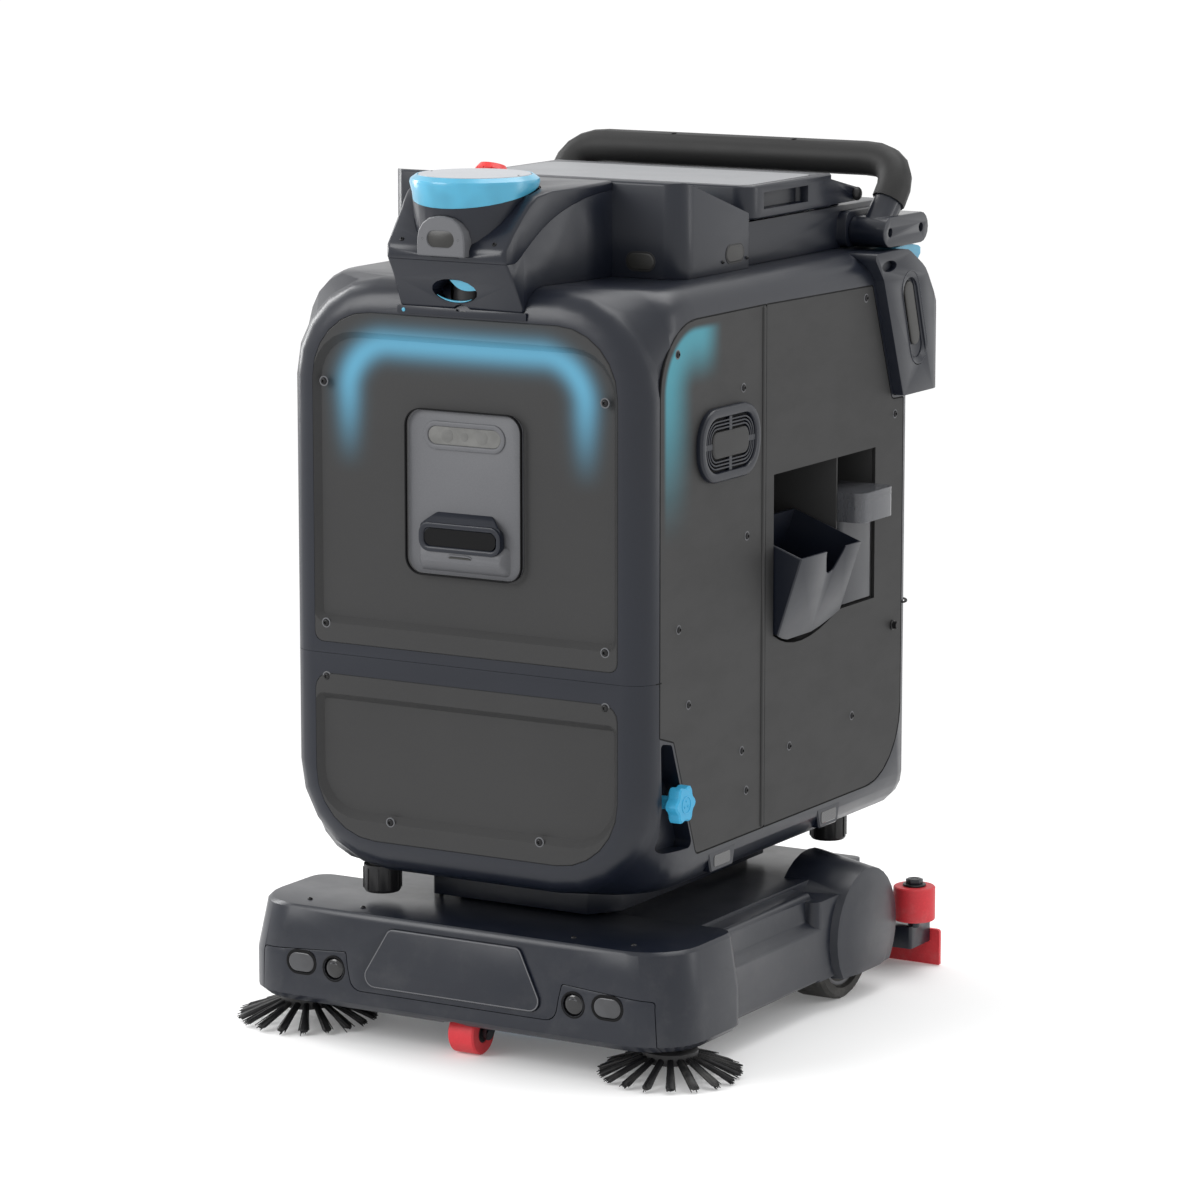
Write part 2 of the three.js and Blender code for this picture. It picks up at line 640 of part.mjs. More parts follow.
// Height and tilt of the operator slope behind the wings' top edge.
const slopeAngle = (Math.atan2(wing.top - wing.low, wing.back - wing.rise) * 180) / Math.PI;
const slopeZ = (y) => wing.top - ((y - wing.rise) * (wing.top - wing.low)) / (wing.back - wing.rise);
const onSlope = (shape, x, y) => moved(shape.rotate([-slopeAngle, 0, 0]), x, y, slopeZ(y));
const stopPlaced = (shape) => onSlope(shape, stop.x, stop.y);

function makePod() {
  const profile = [[0, pod.foot], [pod.footRadius, pod.foot], [pod.radius - 3, pod.shoulder],
    [pod.radius, pod.top - 9], [pod.radius - 1, pod.top - 5], [pod.capRadius + 2, pod.top - GAP],
    [0, pod.top - GAP]];
  const cone = moved(turned(profile, 32), 0, pod.y, 0);
  const tilt = (shape) => moved(shape.rotate([pod.ringTilt, 0, 0]), 0, pod.y, pod.shoulder);
  const upper = tilt(block(-120, 120, -120, 120, GAP / 2, 90));
  const lower = tilt(block(-120, 120, -120, 120, -90, -GAP / 2));
  const seat = moved(disc(pod.capRadius + GAP, pod.top - 3, pod.top + 9, 32), 0, pod.y, 0);
  return {
    pod_body: cut(cone.intersect(lower), sensorPlate(GAP), seat),
    pod_light_ring: cut(cone.intersect(upper), seat),
    pod_cap: moved(disc(pod.capRadius, pod.top - 3 + GAP, pod.top, 32, pod.capRadius - 1), 0, pod.y, 0),
    pod_sensor_plate: cut(
      sensorPlate(0), prism(stadium(0, nose.kneeZ + 17, 38, 21), "y", nose.tip - 24, nose.tip - 10)),
    lidar_turret: moved(disc(lidar.radius, lidar.bottom, lidar.top, 24, lidar.radius - 1), 0, lidar.y, 0),
  };
}

function sensorPlate(grow) {
  const half = 32.5 + grow;
  const shape = rectangle(-half, nose.kneeZ - 3 - grow, half, nose.kneeZ + 44 + grow, [2, 2, 28, 28]);
  return prism(shape, "y", nose.tip - 11 - grow * 10, nose.tip + 8 + grow, grow ? 0 : 1.5);
}

function makeStop() {
  const { radius, height, depth } = stop;
  const button = turned([[0, -depth], [10, -depth], [10, 6], [radius, 7], [radius, height - 8],
    [radius - 5, height - 1], [0, height]]);
  const grooves = Array.from({ length: 12 }, (_, i) =>
    moved(disc(1.6, 3, height + 2, 4), radius + 0.4, 0, 0).rotate([0, 0, i * 30]));
  return stopPlaced(cut(button, ...grooves));
}

const screenBlock = (grow, low, high) =>
  block(screen.left - grow, screen.right + grow, -screen.halfLength - grow, screen.halfLength + grow,
    low, high, screen.round);
const makeScreen = () => onSlope(screenBlock(0, -3 + GAP, 0.6), 0, screen.y);

// ---------------------------------------------------------------- tank, lid and handle

function makeTank() {
  const floor = body.top + GAP;
  const top = tank.top;
  const shell = block(-tank.halfWidth, tank.halfWidth, tank.front, tank.back, floor, top, 22);
  const room = block(-tank.halfWidth + tank.wall, tank.halfWidth - tank.wall, tank.front + tank.wall,
    tank.back - 100, floor + 5, top + 5, 16);
  const ears = [-1, 1].map((s) => {
    const ear = join(
      block(-12, 12, lidHinge.y - 12, lidHinge.y + 12, top - 5, lidHinge.z),
      alongX(disc(lidHinge.radius + 3, -12, 12, 16)).translate([0, lidHinge.y, lidHinge.z]));
    return moved(ear, s * (tank.halfWidth - 34), 0, 0);
  });
  const pin = alongX(disc(lidHinge.pin + GAP, -side, side, 12)).translate([0, lidHinge.y, lidHinge.z]);
  const rearClear = join(rearPodBlank(GAP), mirrored(rearPodBlank(GAP)));
  return cut(join(cut(shell, room), ...ears, handleFlange(), mirrored(handleFlange())), pin, rearClear);
}

function makeLid() {
  const { halfWidth, front, back, bottom, top, round } = lid;
  const slabShape = rectangle(-halfWidth, front, halfWidth, back, [round, round, 6, 6]);
  const plate = prism(slabShape, "z", bottom, top, 2);
  const { margin } = lid;
  const grips = [-1, 1].map((s) =>
    block(s * halfWidth - 16, s * halfWidth + 16, front + 36, front + 150, bottom + 11, top - 10, 6));
  const tray = (gap, low, high) =>
    block(margin + gap - halfWidth, halfWidth - margin - gap, front + margin + gap, back - 30 - gap,
      low, high, 18);
  const arms = [-1, 1].map((s) => {
    const x = s * (halfWidth - lidHinge.armWidth / 2);
    const half = lidHinge.armWidth / 2;
    const bar = prism(outline([[back - 20, bottom + 2], [lidHinge.y, lidHinge.z - lidHinge.radius],
      [lidHinge.y, lidHinge.z + lidHinge.radius], [back - 20, top - 4]]), "x", x - half, x + half);
    const eye = alongX(disc(lidHinge.radius, -half, half, 16)).translate([x, lidHinge.y, lidHinge.z]);
    return join(bar, eye);
  });
  const onHinge = (shape, x = 0) => alongX(shape).translate([x, lidHinge.y, lidHinge.z]);
  const pinBore = onHinge(disc(lidHinge.pin + GAP, -side - 10, side + 10, 12));
  const heads = [-1, 1].map((s) => onHinge(disc(2 * lidHinge.pin, -2, 2, 6), s * (halfWidth + 2.4)));
  const rod = onHinge(disc(lidHinge.pin, -halfWidth - 1, halfWidth + 1, 12));
  return {
    tank_lid: cut(join(plate, ...arms), ...grips, tray(0, top - lid.inlay, top + 5), pinBore),
    lid_inlay: tray(GAP, top - lid.inlay + GAP, top + GAP),
    hinge_pin: join(rod, ...heads),
  };
}

// A round tube along points that lie in one plane with the given normal.
function tube(points, radius, normal, sides = 12) {
  const rings = points.map((point, i) => {
    const before = points[Math.max(i - 1, 0)];
    const after = points[Math.min(i + 1, points.length - 1)];
    const across = after.clone().sub(before).normalize().cross(normal);
    return Array.from({ length: sides }, (_, k) => {
      const angle = (k * 2 * Math.PI) / sides;
      return point.clone()
        .addScaledVector(normal, radius * Math.cos(angle))
        .addScaledVector(across, radius * Math.sin(angle));
    });
  });
  return loft(rings);
}

function makeHandle() {
  const { x, tube: tubeRadius, grip, barY, barZ, bend } = handle;
  const foot = new THREE.Vector3((boss.inner + boss.outer) / 2, boss.front + boss.height / 2 + 2, boss.z);
  const corner = new THREE.Vector3(x, barY, barZ);
  const along = corner.clone().sub(foot).normalize();
  const normal = new THREE.Vector3(1, 0, 0).cross(along);
  const legEnd = corner.clone().addScaledVector(along, -bend);
  const barEnd = new THREE.Vector3(x - bend, barY, barZ);
  const turn = new THREE.QuadraticBezierCurve3(legEnd, corner, barEnd).getPoints(6);
  const flip = (p) => new THREE.Vector3(-p.x, p.y, p.z);
  const way = (start) => [start, ...turn, ...turn.map(flip).reverse(), flip(start)];
  const inner = tube(way(foot), tubeRadius, normal);
  const gripStart = legEnd.clone().addScaledVector(along, -3);
  const bore = tube(way(foot), tubeRadius + GAP, normal);
  const outer = tube(way(gripStart), grip, normal);
  const screws = [-1, 1].flatMap((s) => [
    moved(disc(4, -9, 9, 6), s * 88, barY - 6, barZ + grip + 2),
    moved(disc(4, -9, 9, 6), s * (x - 6), barY - 38, barZ - 4),
  ]);
  const whole = join(inner, handleBlock(), mirrored(handleBlock()));
  const holes = handleHoles();
  return {
    handle_frame: cut(whole, ...holes, ...holes.map(mirrored)),
    handle_grip: cut(outer, bore, ...screws),
  };
}

function handleBlock() {
  const { z, height, front, length, inner, outer } = boss;
  return prism(stadium(front + length / 2, z, length, height), "x", inner, outer, 1);
}

const handleHoles = () => [0, boss.holePitch].map((pitch) =>
  alongX(disc(boss.hole, -30, 10, 12)).translate([boss.outer, boss.front + 18 + pitch, boss.z]));

// The fixed flange on the tank's side that the handle's block turns against.
function handleFlange() {
  const { z, height, front, length, inner } = boss;
  const shape = rectangle(front - 6, z - height / 2, front + length - 4, z + height / 2 + 6, 12);
  return prism(shape, "x", tank.halfWidth - 4, inner - GAP);
}

// ---------------------------------------------------------------- rear pods and rear face

function rearPodOutline(grow = 0) {
  const { foot, crown, back } = rearPod;
  return outline([
    [back - 218 - grow, crown + grow, 6],
    [back - 188 - grow, crown - 35, 6],
    [back - 132 - grow, foot - grow, 4],
    [back + grow, foot - grow, 8],
    [back + grow, foot + 54, 60],
    [back - 72 + grow, crown - 28 + grow, 50],
    [back - 122 + grow, crown + grow, 40],
  ].reverse());
}

function rearPodBlank(grow = 0) {
  const plan = outline([
    [rearPod.inner - grow, rearPod.back - 240],
    [rearPod.outer + grow, rearPod.back - 240, 4],
    [rearPod.outer + grow, rearPod.back - 40, 30],
    [rearPod.outer - 26 + grow, rearPod.back + 1 + grow, 24],
    [rearPod.inner - grow, rearPod.back + 1 + grow],
  ]);
  const blank = prism(rearPodOutline(grow), "x", rearPod.inner - grow, rearPod.outer + grow);
  return blank.intersect(prism(plan, "z", rearPod.foot - 10, rearPod.crown + 10));
}

function makeRearPod() {
  const { outer, foot, crown, back } = rearPod;
  const lean = 18.1; // degrees that the lens pocket leans forwards
  const pocket = prism(stadium(0, 0, 40, 118), "x", outer - 5, outer + 6)
    .rotate([lean, 0, 0])
    .translate([0, back - 103, foot + 92]);
  const eyelet = prism(ellipse(back - 174, crown - 18, 20, 7), "x", outer - 8, outer + 6);
  return {
    rear_pod: cut(rearPodBlank(), rearLightSkin(9, GAP), pocket, eyelet),
    rear_light: rearLightSkin(9),
  };
}

// The curved light on the rear pod's crown, inboard of its outer face.
function rearLightSkin(thick, grow = 0) {
  const outer = rearPodBlank().translate([0, 3, -1]);
  const inner = rearPodBlank().translate([0, 3 - thick, -1 - thick]);
  const { inner: x0, outer: x1, crown, back } = rearPod;
  const window = block(
    x0 + 6 - grow, x1 - 16 + grow, back - 140 - grow, back - 8 + grow, crown - 92 - grow, crown + 68);
  const skin = cut(outer, inner, bodySkin(grow - GAP)).intersect(window);
  return grow ? join(skin, skin.translate([0, -grow, -grow])) : skin;
}

function makeRearFace() {
  const back = body.back + GAP;
  const [doorLow, dockLow] = [body.seam + 25, body.bottom + 82];
  const door = prism(rectangle(-165, doorLow, 165, body.top - 73, 24), "y", back, back + 6, 1.5);
  const vents = Array.from({ length: 6 }, (_, i) =>
    prism(stadium(0, doorLow + 40 + i * 20, 180, 8), "y", back + 3, back + 20));
  const dock = prism(rectangle(-110, dockLow, 110, dockLow + 110, 16), "y", back, back + 14, 2);
  const strips = [-1, 1].map((s) =>
    prism(rectangle(s * 55 - 36, dockLow + 38, s * 55 + 36, dockLow + 72, 4), "y", back + 12, back + 30));
  return {
    rear_door: cut(door, ...vents),
    charge_dock: cut(dock, ...strips),
  };
}

// ---------------------------------------------------------------- base

// The front block of the base, drafted, grown by some millimetres all round.
function deckBlock(grow = 0) {
  const { halfWidth, front, back, round, draft, bottom, top } = deck;
  const levels = [
    [bottom - grow, -8],
    [bottom + 8, 0],
    [98, 0],
    [top - 4, -draft + 1],
    [top + grow, -draft - 3],
  ];
  const ring = (z, extra) => {
    const half = halfWidth + extra + grow;
    const [y0, y1] = [front - extra * 0.8 - grow, back + grow];
    const middle = (y0 + y1) / 2;
    const place = (x, y) => new THREE.Vector3(x, y + middle, z);
    return roundedRing(half, y0 - middle, y1 - middle, round, 22, 6, place);
  };
  return loft(levels.map(([z, extra]) => ring(z, extra)));
}

// The bumper strip's outline from the front: low in the middle, raised at both ends.
function bumperOutline(grow = 0) {
  const { low, high, shoulder, end } = bumper;
  const half = [
    [end + grow, 20],
    [end - 4 + grow, high - 8 + grow, 4],
    [shoulder + 3 - grow, high + grow, 3],
    [shoulder - 6 - grow, low + grow, 16],
  ];
  return outline([...half, ...half.map(([u, v, r]) => [-u, v, r]).reverse()]);
}

function drumHousing(grow = 0) {
  const { y, z, outerRadius, innerRadius, outer, inner } = drum;
  const cone = alongX(disc(innerRadius + grow, inner - outer, 0, 32, outerRadius + grow));
  const lip = alongX(disc(outerRadius - 6 + grow, -1, 4 + grow, 32, outerRadius - 22 + grow));
  return join(cone, lip).translate([outer, y, z]);
}

function sideArm() {
  const section = outline([
    [chassis.halfWidth - 30, arm.bottom],
    [arm.outer, arm.bottom, 6],
    [arm.outer, arm.ledge - 4, 4],
    [arm.inner + 2, arm.ledge + 6, 3],
    [arm.inner, deck.top - 12, 8],
    [chassis.halfWidth - 30, deck.top - 10],
  ]);
  const bar = prism(section, "y", deck.back - 20, 70);
  const knuckle = block(chassis.halfWidth - 30, arm.outer, 55, drum.y, arm.bottom, deck.top - 20, 12);
  return join(bar, knuckle);
}

function baseDeck() {
  const shelf = block(-chassis.halfWidth, chassis.halfWidth, chassis.front, chassis.back, chassis.bottom,
    chassis.top + 6, 12);
  const sides = cut(join(sideArm(), drumHousing()), block(0, 400, 0, 400, -30, 36));
  const atWheel = (shape) => alongX(shape).translate([wheel.outer, wheel.y, wheel.radius]);
  const wheelRoom = atWheel(disc(wheel.radius + 5, -wheel.width - 6, 4));
  const axleHole = atWheel(disc(10, -130, 0, 10));
  const whole = join(deckBlock(), shelf, sides, mirrored(sides));
  const slotBack = deck.front + bumper.depth + bumper.travel + 2;
  const slot = prism(bumperOutline(GAP + bumper.travel / 10), "y", deck.front - 49, slotBack);
  const casterRoom = moved(disc(caster.pocket, 0, caster.crown + 16), 0, caster.y, 0);
  const swivelBore = moved(disc(caster.hub + RUN / 2, 60, 130, 14), 0, caster.y, 0);
  const brushRooms = [-1, 1].map((s) => join(
    moved(disc(sideBrush.hub + RUN, 0, 62, 18), s * sideBrush.x, sideBrush.y, 0),
    moved(disc(10 + RUN / 2, 40, 104, 12), s * sideBrush.x, sideBrush.y, 0)));
  const scrubRoom = moved(disc(scrub.radius + 8, 0, scrub.top + 20, 32), 0, scrub.y, 0);
  const scrubBore = moved(disc(scrub.shaft + RUN / 2, 60, 130, 14), 0, scrub.y, 0);
  const hollow = block(
    26 - chassis.halfWidth, chassis.halfWidth - 26, 104, chassis.back - 10, 0, chassis.top - 8, 8);
  return cut(whole, slot, casterRoom, swivelBore, ...brushRooms, scrubRoom, scrubBore, hollow,
    wheelRoom, mirrored(wheelRoom), axleHole, mirrored(axleHole), basePlate(GAP));
}

function bumperStrip() {
  const ahead = deck.front - 49;
  const strip = deckBlock().intersect(prism(bumperOutline(), "y", ahead, deck.front + bumper.depth));
  const casterRoom = moved(
    disc(caster.pocket + bumper.travel + 1, 0, caster.crown + 16, 28), 0, caster.y, 0);
  const brushRoom = disc(sideBrush.hub + RUN + bumper.travel, 0, 62);
  const brushRooms = [-1, 1].map((s) => moved(brushRoom, s * sideBrush.x, sideBrush.y, 0));
  const eyes = [-1, 1].flatMap((s) => [
    prism(ellipse(s * 169, 91.5, 14, 14), "y", ahead, deck.front + 4),
    prism(stadium(s * 216, 94, 40, 23), "y", ahead, deck.front + 4)]);
  return cut(strip, casterRoom, ...brushRooms, ...eyes);
}

// The raised trapezoid in the middle of the base's front.
function basePlate(grow = 0) {
  const shape = outline([
    [-133 - grow, 76 - grow, 14],
    [133 + grow, 76 - grow, 14],
    [92 + grow, 150 + grow, 10],
    [-92 - grow, 150 + grow, 10],
  ]);
  const raised = prism(shape, "y", deck.front - 12, deck.front + 14 + grow);
  return raised.intersect(deckBlock(grow ? 6 : 2.5));
}

function driveWheel() {
  const { radius, width, tyre } = wheel;
  const half = width / 2;
  const tread = turned([[0, -half], [radius - 4, -half], [radius, -half + 4], [radius, half - 4],
    [radius - 4, half], [radius - tyre, half], [radius - tyre - 2, half - 5], [0, half - 5]], 30);
  const axle = disc(8, -half - 60, -half + 5, 12);
  const lugs = Array.from({ length: 5 }, (_, i) =>
    moved(disc(6, half - 6, half - 2, 6), 32, 0, 0).rotate([0, 0, i * 72]));
  return alongX(join(tread, axle, ...lugs)).translate([wheel.outer - half, wheel.y, radius]);
}

function makeCaster() {
  const { y, trail, radius, width, hub } = caster;
  const axleY = y - trail;
  const half = width / 2;
  const tread = alongX(turned([[0, -half], [radius - 2, -half], [radius, -half + 2], [radius, half - 2],
    [radius - 2, half], [12, half], [10, half - 3], [0, half - 3]], 28)).translate([0, axleY, radius]);
  const bore = alongX(disc(caster.axle + GAP, -60, 60, 12)).translate([0, axleY, radius]);
  const cheeks = [-1, 1].map((s) => {
    const x = s * (half + 4);
    const top = caster.crown + 2;
    const shape = outline([
      [axleY - 9, radius - 8, 7],
      [axleY + 9, radius - 8, 7],
      [y + 16, top, 3],
      [y - 16, top, 3],
    ]);
    return prism(shape, "x", x - 2.5, x + 2.5);
  });
  const crown = moved(disc(28, caster.crown, caster.crown + 6, 24), 0, y, 0);
  const post = moved(disc(hub, caster.crown + 4, 126, 20), 0, y, 0);
  const axle = alongX(disc(caster.axle, -half - 8, half + 8, 12)).translate([0, axleY, radius]);
  return {
    caster_fork: join(crown, post, ...cheeks, axle),
    caster_wheel: cut(tread, bore),
  };
}

function sideBrushAt() {
  const { radius, hub, tufts } = sideBrush;
  const core = turned([[0, 16], [hub, 16], [hub, 34], [10, 46], [10, 100], [0, 100]], 16);
  const bundleShape = outline([[radius - 3, 1], [radius, 8], [hub - 6, 34], [hub - 6, 20]]);
  const bundle = prism(bundleShape, "y", -4, 4);
  const fan = Array.from({ length: tufts }, (_, i) => bundle.rotate([0, 0, (i * 360) / tufts]));
  return moved(join(core, ...fan), sideBrush.x, sideBrush.y, 0);
}

function scrubBrush() {
  const { radius, hub, top } = scrub;
  const { shaft } = scrub;
  const shape = turned([[0, 20], [40, 20], [46, 2], [radius - 6, 2], [radius, 10], [hub + 6, 38], [hub, top],
    [shaft, top], [shaft, top + 58], [0, top + 58]], 28);
  return moved(shape, 0, scrub.y, 0);
}

function makeSqueegee() {
  const { y, halfWidth, thick, height, pivotY, pivotZ } = squeegee;
  const bladeShape = rectangle(-halfWidth, 1.2, halfWidth, height, [1, 1, 4, 4]);
  const blade = prism(bladeShape, "y", y - thick / 2, y + thick / 2);
  const beam = block(-halfWidth + 12, halfWidth - 12, roller.y - 14, y - thick / 2 - GAP, 33, 62, 4);
  const links = [-1, 1].map((s) => join(
    block(s * 90 - 9, s * 90 + 9, pivotY - 10, y - 10, 56, 84),
    block(s * 90 - 9, s * 90 + 9, pivotY - 12, pivotY + 12, 56, pivotZ)));
  const eyes = alongX(disc(10, -99, 99, 20)).translate([0, pivotY, pivotZ]);
  const bores = alongX(disc(squeegee.pivot + GAP, -140, 140, 16)).translate([0, pivotY, pivotZ]);
  const post = join(disc(8, 60, roller.top + 6, 16), disc(11, roller.top + 3, roller.top + 9, 6));
  const posts = [-1, 1].map((s) => moved(post, s * roller.x, roller.y, 0));
  return {
    squeegee_frame: cut(join(beam, ...links, eyes, ...posts), bores),
    squeegee_blade: blade,
  };
}

function bumperRoller() {
  const { radius, bottom, top } = roller;
  const tyre = turned([[0, bottom], [radius - 1.5, bottom], [radius, bottom + 1.5], [radius, top - 1.5],
    [radius - 1.5, top], [0, top]]);
  const ring = cut(tyre, disc(8 + GAP, bottom - 1, top + 1, 12), disc(14, top - 6, top + 1, 16));
  return moved(ring, roller.x, roller.y, 0);
}

function pivotBracket() {
  const { pivotY, pivotZ } = squeegee;
  const lugs = [-1, 1].map((s) => join(
    block(s * 112 - 7, s * 112 + 7, chassis.back + GAP, pivotY, pivotZ - 12, pivotZ + 12),
    alongX(disc(12, -7, 7, 20)).translate([s * 112, pivotY, pivotZ])));
  const spine = block(-120, 120, chassis.back + GAP, chassis.back + 8, pivotZ - 12, chassis.top);
  const pin = alongX(disc(squeegee.pivot, -116, 116, 16)).translate([0, pivotY, pivotZ]);
  return join(spine, ...lugs, pin);
}

function makePedestal() {
  const { front, back, halfWidth, cornerX, cornerY } = pedestal;
  const plan = outline([
    [-cornerX, front, 4],
    [cornerX, front, 4],
    [halfWidth, cornerY, 6],
    [halfWidth, back, 12],
    [-halfWidth, back, 12],
    [-halfWidth, cornerY, 6],
  ]);
  const mast = prism(plan, "z", deck.top + GAP, body.bottom - GAP);
  const foot = block(
    20 - halfWidth, halfWidth - 20, cornerY + 20, back - 10, chassis.top + 6 + GAP, deck.top + 17, 8);
  return join(cut(mast, slab(0, deck.top + 2)), foot);
}

const capPlaces = () => [[-155, body.front + 58], [body.halfWidth - 68, body.back - 110]];

function drainCap() {
  const { radius, height, ribs } = cap;
  const top = body.bottom - GAP;
  const core = turned([[0, top - height], [radius - 3, top - height], [radius - 1, top - height + 3],
    [radius - 1, top], [radius - 8, top], [radius - 8, top + 9], [0, top + 9]], 20);
  const rib = moved(block(-1.2, 1.2, -1.2, 1.2, top - height + 4, top - 4), radius - 1.2, 0, 0);
  const teeth = Array.from({ length: ribs }, (_, i) => rib.rotate([0, 0, (i * 360) / ribs]));
  return join(core, ...teeth);
}

function valveKnob() {
  const { radius, depth, lobes } = knob;
  const star = new THREE.Shape();
  const steps = lobes * 5;
  for (let i = 0; i <= steps; i++) {
    const angle = (i / steps) * Math.PI * 2;
    const r = radius - 2.5 + 2.5 * Math.cos(lobes * angle);
    if (i === 0) star.moveTo(r, 0);
    else star.lineTo(r * Math.cos(angle), r * Math.sin(angle));
  }
  const grip = prism(star, "x", 0, depth, 2);
  const stem = alongX(disc(8, GAP + 1 - knob.pocket, 3, 16));
  return join(grip, stem).translate([side + 1, knob.y, knob.z]);
}

// A sensor housing that hangs under the body's lower side edge.
function proximityEye(y0, length) {
  const [y1, low, high] = [y0 + length, body.bottom + 14, body.bottom + 40];
  const shape = outline([[y0, high], [y0 + 8, low, 4], [y1 - 6, low, 5], [y1, high]]);
  return prism(shape, "x", side - 24, side - 1, 2);
}

function makeInside() {
  const floor = body.bottom + body.wall + GAP;
  return {
    battery_pack: block(-130, 130, -120, 130, floor, floor + 170, 6),
    solution_tank: block(50 - side, side - bay.depth - 12, -250, 250, body.seam + 20, body.seam + 300, 30),
  };
}

// ---------------------------------------------------------------- assembly

const machine = new THREE.Group();

function place(name, shape, color, roughness = 0.5, metalness = 0, parent = machine) {
  const material = new THREE.MeshStandardMaterial({ color, roughness, metalness });
  const mesh = new THREE.Mesh(geometryOf(shape), material);
  mesh.name = name;
  parent.add(mesh);
}

function placeBoth(name, shape, ...look) {
  place(name + "_right", shape, ...look);
  place(name + "_left", mirrored(shape), ...look);
}

const housings = makeHousings();
place("upper_housing", housings.upper_housing, colour.shell, 0.45);
place("lower_housing", housings.lower_housing, colour.shell, 0.45);

for (const [name, shape] of Object.entries(makeFrontPanels())) place(name, shape, colour.panel, 0.6);
const face = makeInsert();
place("camera_insert", face.camera_insert, colour.insert, 0.5);
place("camera_window", face.camera_window, colour.glass, 0.15);
for (const [name, shape] of Object.entries(makeSidePanels())) place(name, shape, colour.panel, 0.6);
placeBoth("speaker", speaker(), colour.black, 0.6);

place("bay_liner", bayLiner(), colour.panel, 0.7);
place("debris_bin", debrisBin(), colour.shell, 0.4);
const flask = makeBottle();
place("bottle", flask.bottle, colour.clear, 0.25);
place("bottle_lid", flask.bottle_lid, colour.clear, 0.2);

const head = makeConsole();
place("console", head.console, colour.shell, 0.45);
place("face_plate", head.face_plate, colour.shell, 0.45);
const turret = makePod();
place("pod_body", turret.pod_body, colour.shell, 0.45);
place("pod_light_ring", turret.pod_light_ring, colour.glow, 0.3);
place("pod_cap", turret.pod_cap, colour.pale, 0.4);
place("pod_sensor_plate", turret.pod_sensor_plate, colour.insert, 0.5);
place("lidar_turret", turret.lidar_turret, colour.glow, 0.3);
place("stop_button", makeStop(), colour.stop, 0.4);
place("screen", makeScreen(), colour.glass, 0.1);

place("tank", makeTank(), colour.shell, 0.45);
const cover = makeLid();
place("tank_lid", cover.tank_lid, colour.shell, 0.4);
place("lid_inlay", cover.lid_inlay, colour.pale, 0.4);
place("hinge_pin", cover.hinge_pin, colour.black, 0.35, 0.8);
const bar = makeHandle();
place("handle_frame", bar.handle_frame, colour.shell, 0.35, 0.6);
place("handle_grip", bar.handle_grip, colour.black, 0.7);

const pods = makeRearPod();
placeBoth("rear_pod", pods.rear_pod, colour.shell, 0.45);
placeBoth("rear_light", pods.rear_light, colour.glow, 0.3);
const tail = makeRearFace();
place("rear_door", tail.rear_door, colour.panel, 0.6);
place("charge_dock", tail.charge_dock, colour.black, 0.5);

place("base_deck", baseDeck(), colour.shell, 0.45);
place("bumper_strip", bumperStrip(), colour.shell, 0.45);
place("base_plate", basePlate(), colour.shell, 0.4);
placeBoth("drive_wheel", driveWheel(), colour.black, 0.8);
const swivel = makeCaster();
place("caster_fork", swivel.caster_fork, colour.black, 0.5, 0.3);
place("caster_wheel", swivel.caster_wheel, colour.red, 0.5);
placeBoth("side_brush", sideBrushAt(), colour.black, 0.9);
place("scrub_brush", scrubBrush(), colour.blue, 0.8);
const wiper = makeSqueegee();
place("squeegee_frame", wiper.squeegee_frame, colour.shell, 0.4);
place("squeegee_blade", wiper.squeegee_blade, colour.red, 0.5);
place("pivot_bracket", pivotBracket(), colour.black, 0.5);
placeBoth("bumper_roller", bumperRoller(), colour.red, 0.5);
place("pedestal", makePedestal(), colour.shell, 0.45);
capPlaces().forEach(([x, y], i) => {
  const name = ["drain_cap_front", "drain_cap_rear"][i];
  place(name, moved(drainCap(), x, y, 0), colour.black, 0.5);
});
place("valve_knob", valveKnob(), colour.blue, 0.5);
const inside = makeInside();
place("battery_pack", inside.battery_pack, colour.black, 0.6);
place("solution_tank", inside.solution_tank, colour.pale, 0.5);

// The origin is on the floor, in the middle of the machine's length.
machine.updateMatrixWorld(true);
const extent = new THREE.Box3().setFromObject(machine);
machine.position.y = -(extent.min.y + extent.max.y) / 2;

export default machine;
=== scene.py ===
import math
import random

import bmesh
import bpy
from mathutils import Matrix, Vector


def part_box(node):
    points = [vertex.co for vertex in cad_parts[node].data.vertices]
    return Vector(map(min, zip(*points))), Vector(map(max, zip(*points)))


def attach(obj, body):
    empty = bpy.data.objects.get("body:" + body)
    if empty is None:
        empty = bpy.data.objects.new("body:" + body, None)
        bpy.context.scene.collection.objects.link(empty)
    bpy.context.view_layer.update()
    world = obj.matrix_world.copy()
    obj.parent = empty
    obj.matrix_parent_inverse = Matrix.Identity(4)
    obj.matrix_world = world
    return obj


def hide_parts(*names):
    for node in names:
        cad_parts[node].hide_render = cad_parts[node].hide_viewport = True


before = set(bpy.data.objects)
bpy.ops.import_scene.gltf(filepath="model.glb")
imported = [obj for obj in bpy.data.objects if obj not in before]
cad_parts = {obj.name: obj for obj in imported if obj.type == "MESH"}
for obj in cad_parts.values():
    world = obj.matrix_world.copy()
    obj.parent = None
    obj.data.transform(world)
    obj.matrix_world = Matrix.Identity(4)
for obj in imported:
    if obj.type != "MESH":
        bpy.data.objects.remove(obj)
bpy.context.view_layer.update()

MM = 0.001
ROOT = "machine"
FRONT, REAR = (0, -1, 0), (0, 1, 0)
RIGHT, LEFT = (1, 0, 0), (-1, 0, 0)
UP = (0, 0, 1)


# ---------------------------------------------------------------- places

def corners(node):
    """The lowest and highest corner of a CAD node, in millimetres."""
    low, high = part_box(node)
    return low / MM, high / MM


def middle(node):
    low, high = corners(node)
    return (low + high) / 2


